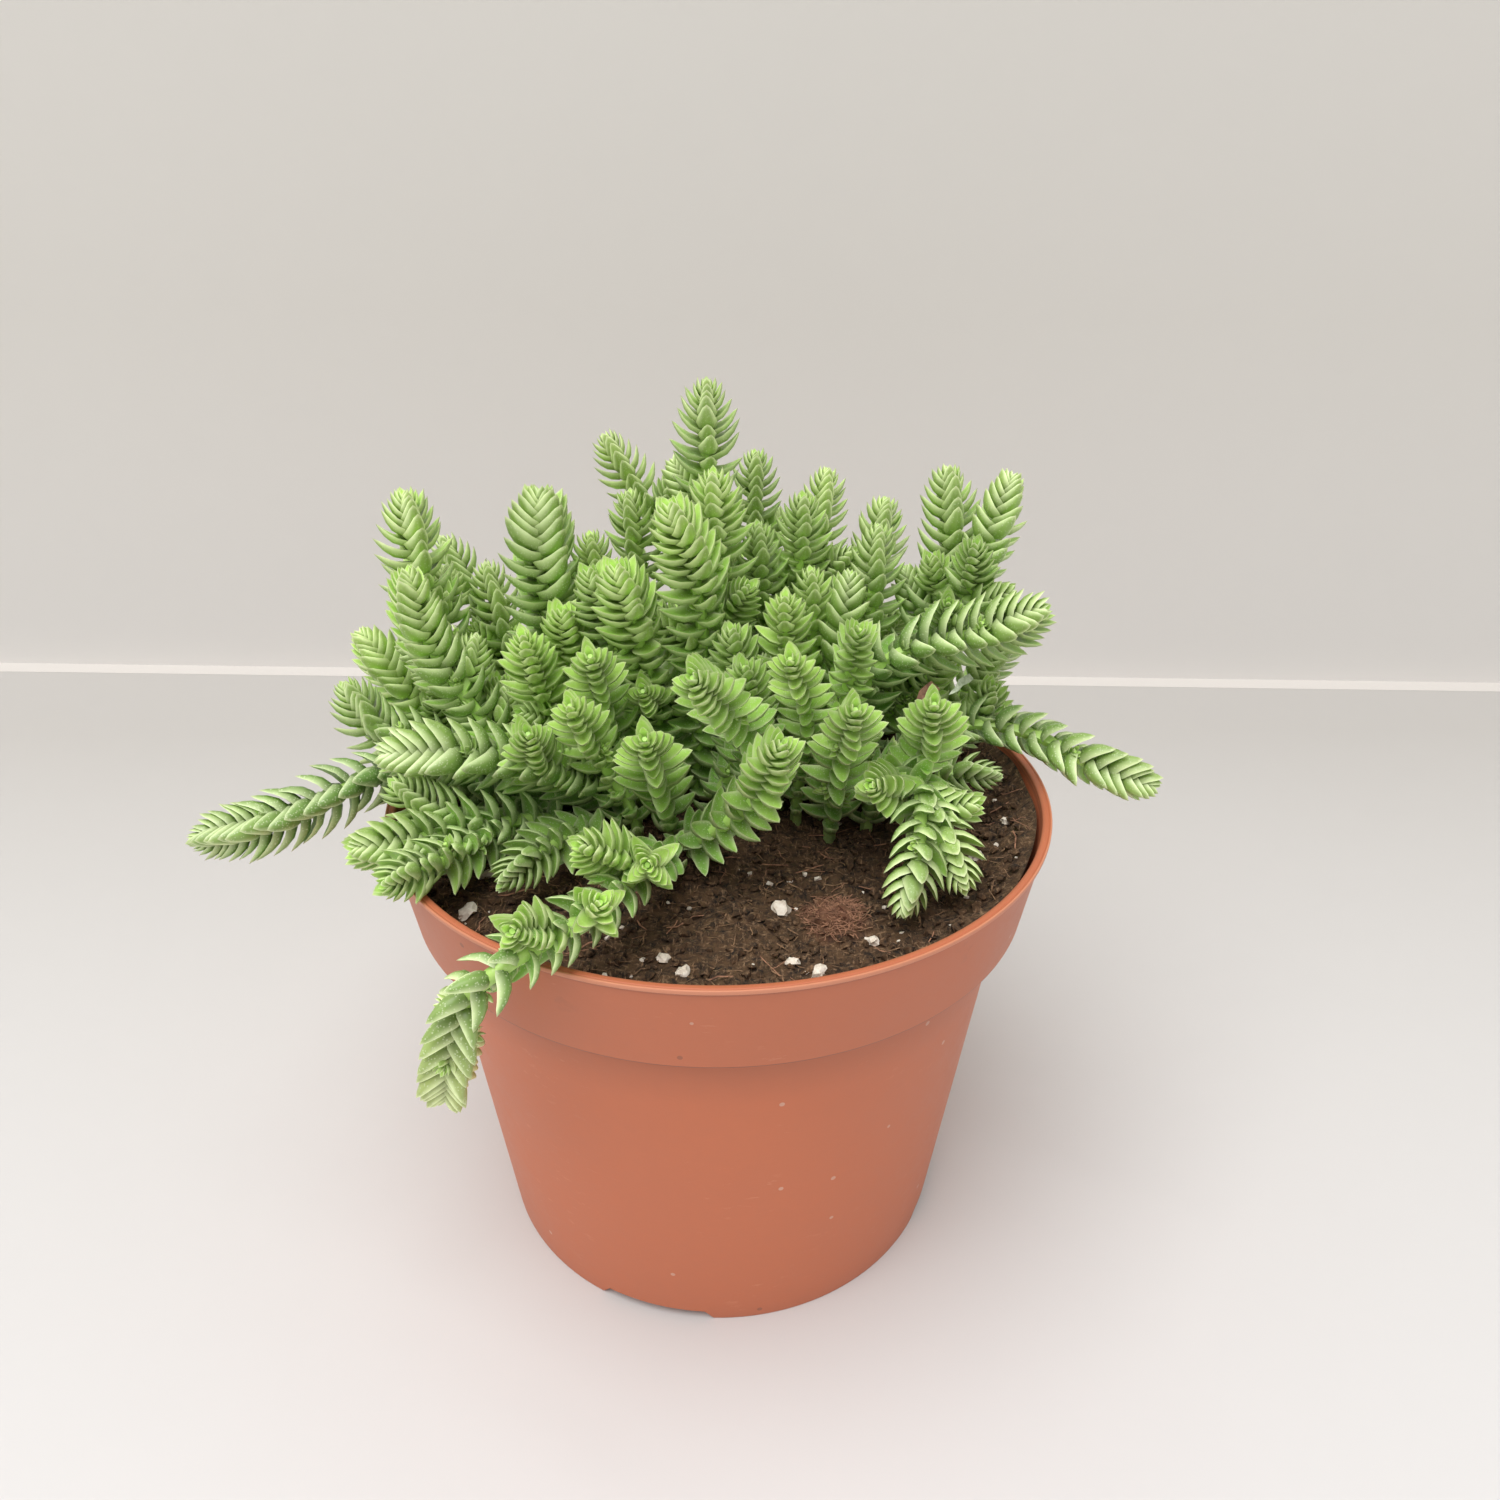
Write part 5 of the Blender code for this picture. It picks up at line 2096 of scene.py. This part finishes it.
    def build(self, finish: bpy.types.Material) -> None:
        """Model every leafy stem and hand it over.

        Args:
            finish: The leaf material.
        """
        self.patterns = {pattern.age: pattern.model() for pattern in LEAF_PATTERNS}
        shoots = {plan.name: self.shoots_of(plan) for plan in STEM_PLANS}
        room = Room((shoot for group in shoots.values() for shoot in group), self.soil)
        taken: list[Vector] = []
        for kind in (self.twigs, self.tufts):
            for group in shoots.values():
                for shoot in list(group):
                    if shoot.plan.twiggy or kind is self.tufts:
                        group += kind.on(shoot, room, taken, self.chance)
        room = Room((shoot for group in shoots.values() for shoot in group), self.soil)
        for number, (name, group) in enumerate(shoots.items()):
            chance = random.Random(SEED * 100 + number)
            pieces = [self.stem_core(shoot) for shoot in group]
            for shoot in group:
                pieces += self.dress(shoot, room, chance)
            hand_over(join(pieces, "leafy_" + name), Slot.LEAF, ["stem_" + name], finish)
        LOG.info("%d shoots", sum(len(group) for group in shoots.values()))
        for pattern in self.patterns.values():
            bpy.data.objects.remove(pattern)


@dataclass(frozen=True)
class DeadLeaf:
    """A dried leaf that hangs from a stem, from its root to its tip, in millimetres.

    Each bend takes the stretch between two shares of the length, and moves it aside and by a share
    of the curl.
    """

    name: str
    stem: str
    root: Point
    tip: Point
    facing: Point
    width: float
    light: Colour
    dark: Colour
    curl: float = 1.9
    shrink: float = 0.45
    bends: tuple[tuple[float, ...], ...] = ((0.6, 2.0, 0.3, 1.0), (0.3, 0.6, -0.2, 0.4))

    def build(self, effects: SharedEffects) -> None:
        """Model the leaf from a grown one, flattened and curled, and hand it over.

        Args:
            effects: The shared node groups.
        """
        form = LEAF_PATTERNS[-1]
        leaf = form.model()
        leaf.name = leaf.data.name = self.name
        with Edit(leaf) as edit:
            edit.pick_all()
            edit.scale((self.width / form.half_width / 2, self.shrink, 1.0), (0.0, 0.0, 0.0))
            for low, high, aside, share in self.bends:
                edit.pick(lambda place: low * form.length * MM < place.z < high * form.length * MM)
                edit.move((aside * MM, share * self.curl * MM, 0.0))
        along = Vector(self.tip) - Vector(self.root)
        ahead = along.normalized()
        upper = Vector(self.facing)
        upper = (upper - ahead * upper.dot(ahead)).normalized()
        turn = Matrix((upper.cross(ahead), upper, ahead)).transposed().to_4x4()
        stretch = Matrix.Diagonal((1.0, 1.0, along.length / form.length, 1.0))
        leaf.data.transform(Matrix.Translation(Vector(self.root) * MM) @ turn @ stretch)
        dry = GrainFinish(effects, self.name, self.light, self.dark, 700.0, 0.15).make()
        hand_over(leaf, Slot.LEAF, ["stem_" + self.stem], dry)


DEAD_LEAVES = (
    DeadLeaf("dried_leaf_brown", "right_3", (39.0, 3.0, 108.0), (34.4, 1.0, 103.6), (0.2, -0.6, 0.8), 2.6,
             (0.330, 0.170, 0.110), (0.130, 0.062, 0.040)),
    DeadLeaf("dried_leaf_pale", "right_3", (45.5, 3.5, 109.5), (40.6, 1.5, 106.6), (0.1, -0.8, 0.6), 1.5,
             (0.620, 0.680, 0.520), (0.330, 0.400, 0.250)),
)


# Camera, light and stage


@dataclass(frozen=True)
class Studio:
    """The photograph's viewpoint, soft light from the upper left, and a plain pale floor and wall, with
    painted light.
    """

    effects: SharedEffects
    eye: Point = (0.0, -190.1, 195.4)
    pitch_deg: float = 27.49
    yaw_deg: float = 1.63
    roll_deg: float = 0.48
    lens_mm: float = 28.18
    nearest_mm: float = 10.0
    sensor_mm: float = 36.0
    wall_y: float = 254.7
    wall_turn_deg: float = -2.33
    wall_base: float = 8.8
    floor_half_width: float = 1500.0
    floor_front: float = -1500.0
    wall_height: float = 1600.0
    key_place: Point = (-560.0, -900.0, 2700.0)
    key_size: float = 2500.0
    key_power: float = 82.0
    fill_strength: float = 0.47
    fill_colour: Colour = (1.0, 0.985, 0.97)
    # Painted light: the floor darker towards the back, the wall darker upwards
    floor_colours: tuple[Colour, Colour] = ((0.785, 0.780, 0.783), (0.512, 0.492, 0.467))
    wall_colours: tuple[Colour, Colour] = ((0.760, 0.740, 0.715), (0.692, 0.668, 0.626))
    wall_change: tuple[float, float] = (0.0, 140.0)
    base_colours: tuple[Colour, Colour] = ((0.750, 0.712, 0.672), (0.690, 0.655, 0.618))
    base_height: float = 0.05

    def aim_camera(self) -> None:
        """Create the camera at the photograph's viewpoint."""
        pitch, yaw, roll = (math.radians(angle) for angle in (self.pitch_deg, self.yaw_deg, self.roll_deg))
        ahead = Vector((math.sin(yaw) * math.cos(pitch), math.cos(yaw) * math.cos(pitch), -math.sin(pitch)))
        level = Vector((math.cos(yaw), -math.sin(yaw), 0.0))
        above = level.cross(ahead)
        right = level * math.cos(roll) + above * math.sin(roll)
        up = above * math.cos(roll) - level * math.sin(roll)
        deselect_all()
        bpy.ops.object.camera_add()
        camera = bpy.context.object
        turn = Matrix((right, up, -ahead)).transposed().to_4x4()
        camera.matrix_world = Matrix.Translation(Vector(self.eye) * MM) @ turn
        camera.data.sensor_width = self.sensor_mm
        camera.data.lens = self.lens_mm
        camera.data.clip_start = self.nearest_mm * MM
        bpy.context.scene.camera = camera

    def light(self) -> None:
        """Add one large soft lamp, and light from all round."""
        deselect_all()
        bpy.ops.object.light_add(type="AREA", location=Vector(self.key_place) * MM)
        lamp = bpy.context.object
        lamp.data.shape = "SQUARE"
        lamp.data.size = self.key_size * MM
        lamp.data.energy = self.key_power
        lamp.rotation_euler = (-Vector(self.key_place)).to_track_quat("-Z", "Y").to_euler()
        world = bpy.data.worlds.new("studio_air")
        world.use_nodes = True
        sky = world.node_tree.nodes["Background"]
        sky.inputs["Color"].default_value = (*self.fill_colour, 1.0)
        sky.inputs["Strength"].default_value = self.fill_strength
        bpy.context.scene.world = world
        bpy.context.scene.view_settings.view_transform = "Standard"

    def surface(
        self, name: str, low: Point, high: Point, finish: bpy.types.Material, turn_deg: float = 0.0
    ) -> None:
        """A flat stage surface between two opposite corners.

        Args:
            name: Its name.
            low: Its low corner, in millimetres.
            high: Its high corner, in millimetres.
            finish: Its material.
            turn_deg: Its turn about the upright line through its middle.
        """
        sides = Vector(high) - Vector(low)
        deselect_all()
        bpy.ops.mesh.primitive_plane_add(size=1.0, location=(0, 0, 0))
        item = bpy.context.object
        item.name = name
        upright = sides.y == 0
        item.rotation_euler = (math.radians(90 if upright else 0), 0.0, math.radians(turn_deg))
        item.scale = (sides.x * MM, (sides.z if upright else sides.y) * MM, 1.0)
        item.location = (Vector(low) + sides / 2) * MM
        bpy.ops.object.transform_apply(location=True, rotation=True, scale=True)
        item.data.materials.append(finish)

    def build(self) -> None:
        """Set the stage."""
        self.aim_camera()
        self.light()
        # The floor and wall carry painted light
        floor = BackdropFinish(self.effects, "pale_floor", *self.floor_colours).make()
        wall = BackdropFinish(self.effects, "pale_wall", *self.wall_colours, 2, self.wall_change).make()
        base = BackdropFinish(self.effects, "pale_base", *self.base_colours).make()
        across, back = self.floor_half_width, self.wall_y
        self.surface("floor", (-across, self.floor_front, 0.0), (across, back + across / 20, 0.0), floor)
        self.surface("wall", (-across, back, 0.0), (across, back, self.wall_height), wall, self.wall_turn_deg)
        low = (-across, back - self.wall_base, self.base_height)
        high = (across, back, self.base_height)
        self.surface("wall_base", low, high, base, self.wall_turn_deg)
        LOG.info("studio set")


def main() -> None:
    """Build and dress every piece."""
    logging.basicConfig(level=logging.INFO, format="%(name)s: %(message)s")
    effects = SharedEffects()
    Studio(effects).build()
    pot = Pot()
    pot.build(PotFinish(effects).make())
    soil = Soil(pot)
    soil.build(effects)
    Plant(soil).build(LeafFinish(effects).make())
    for leaf in DEAD_LEAVES:
        leaf.build(effects)


if __name__ == "__main__":
    main()
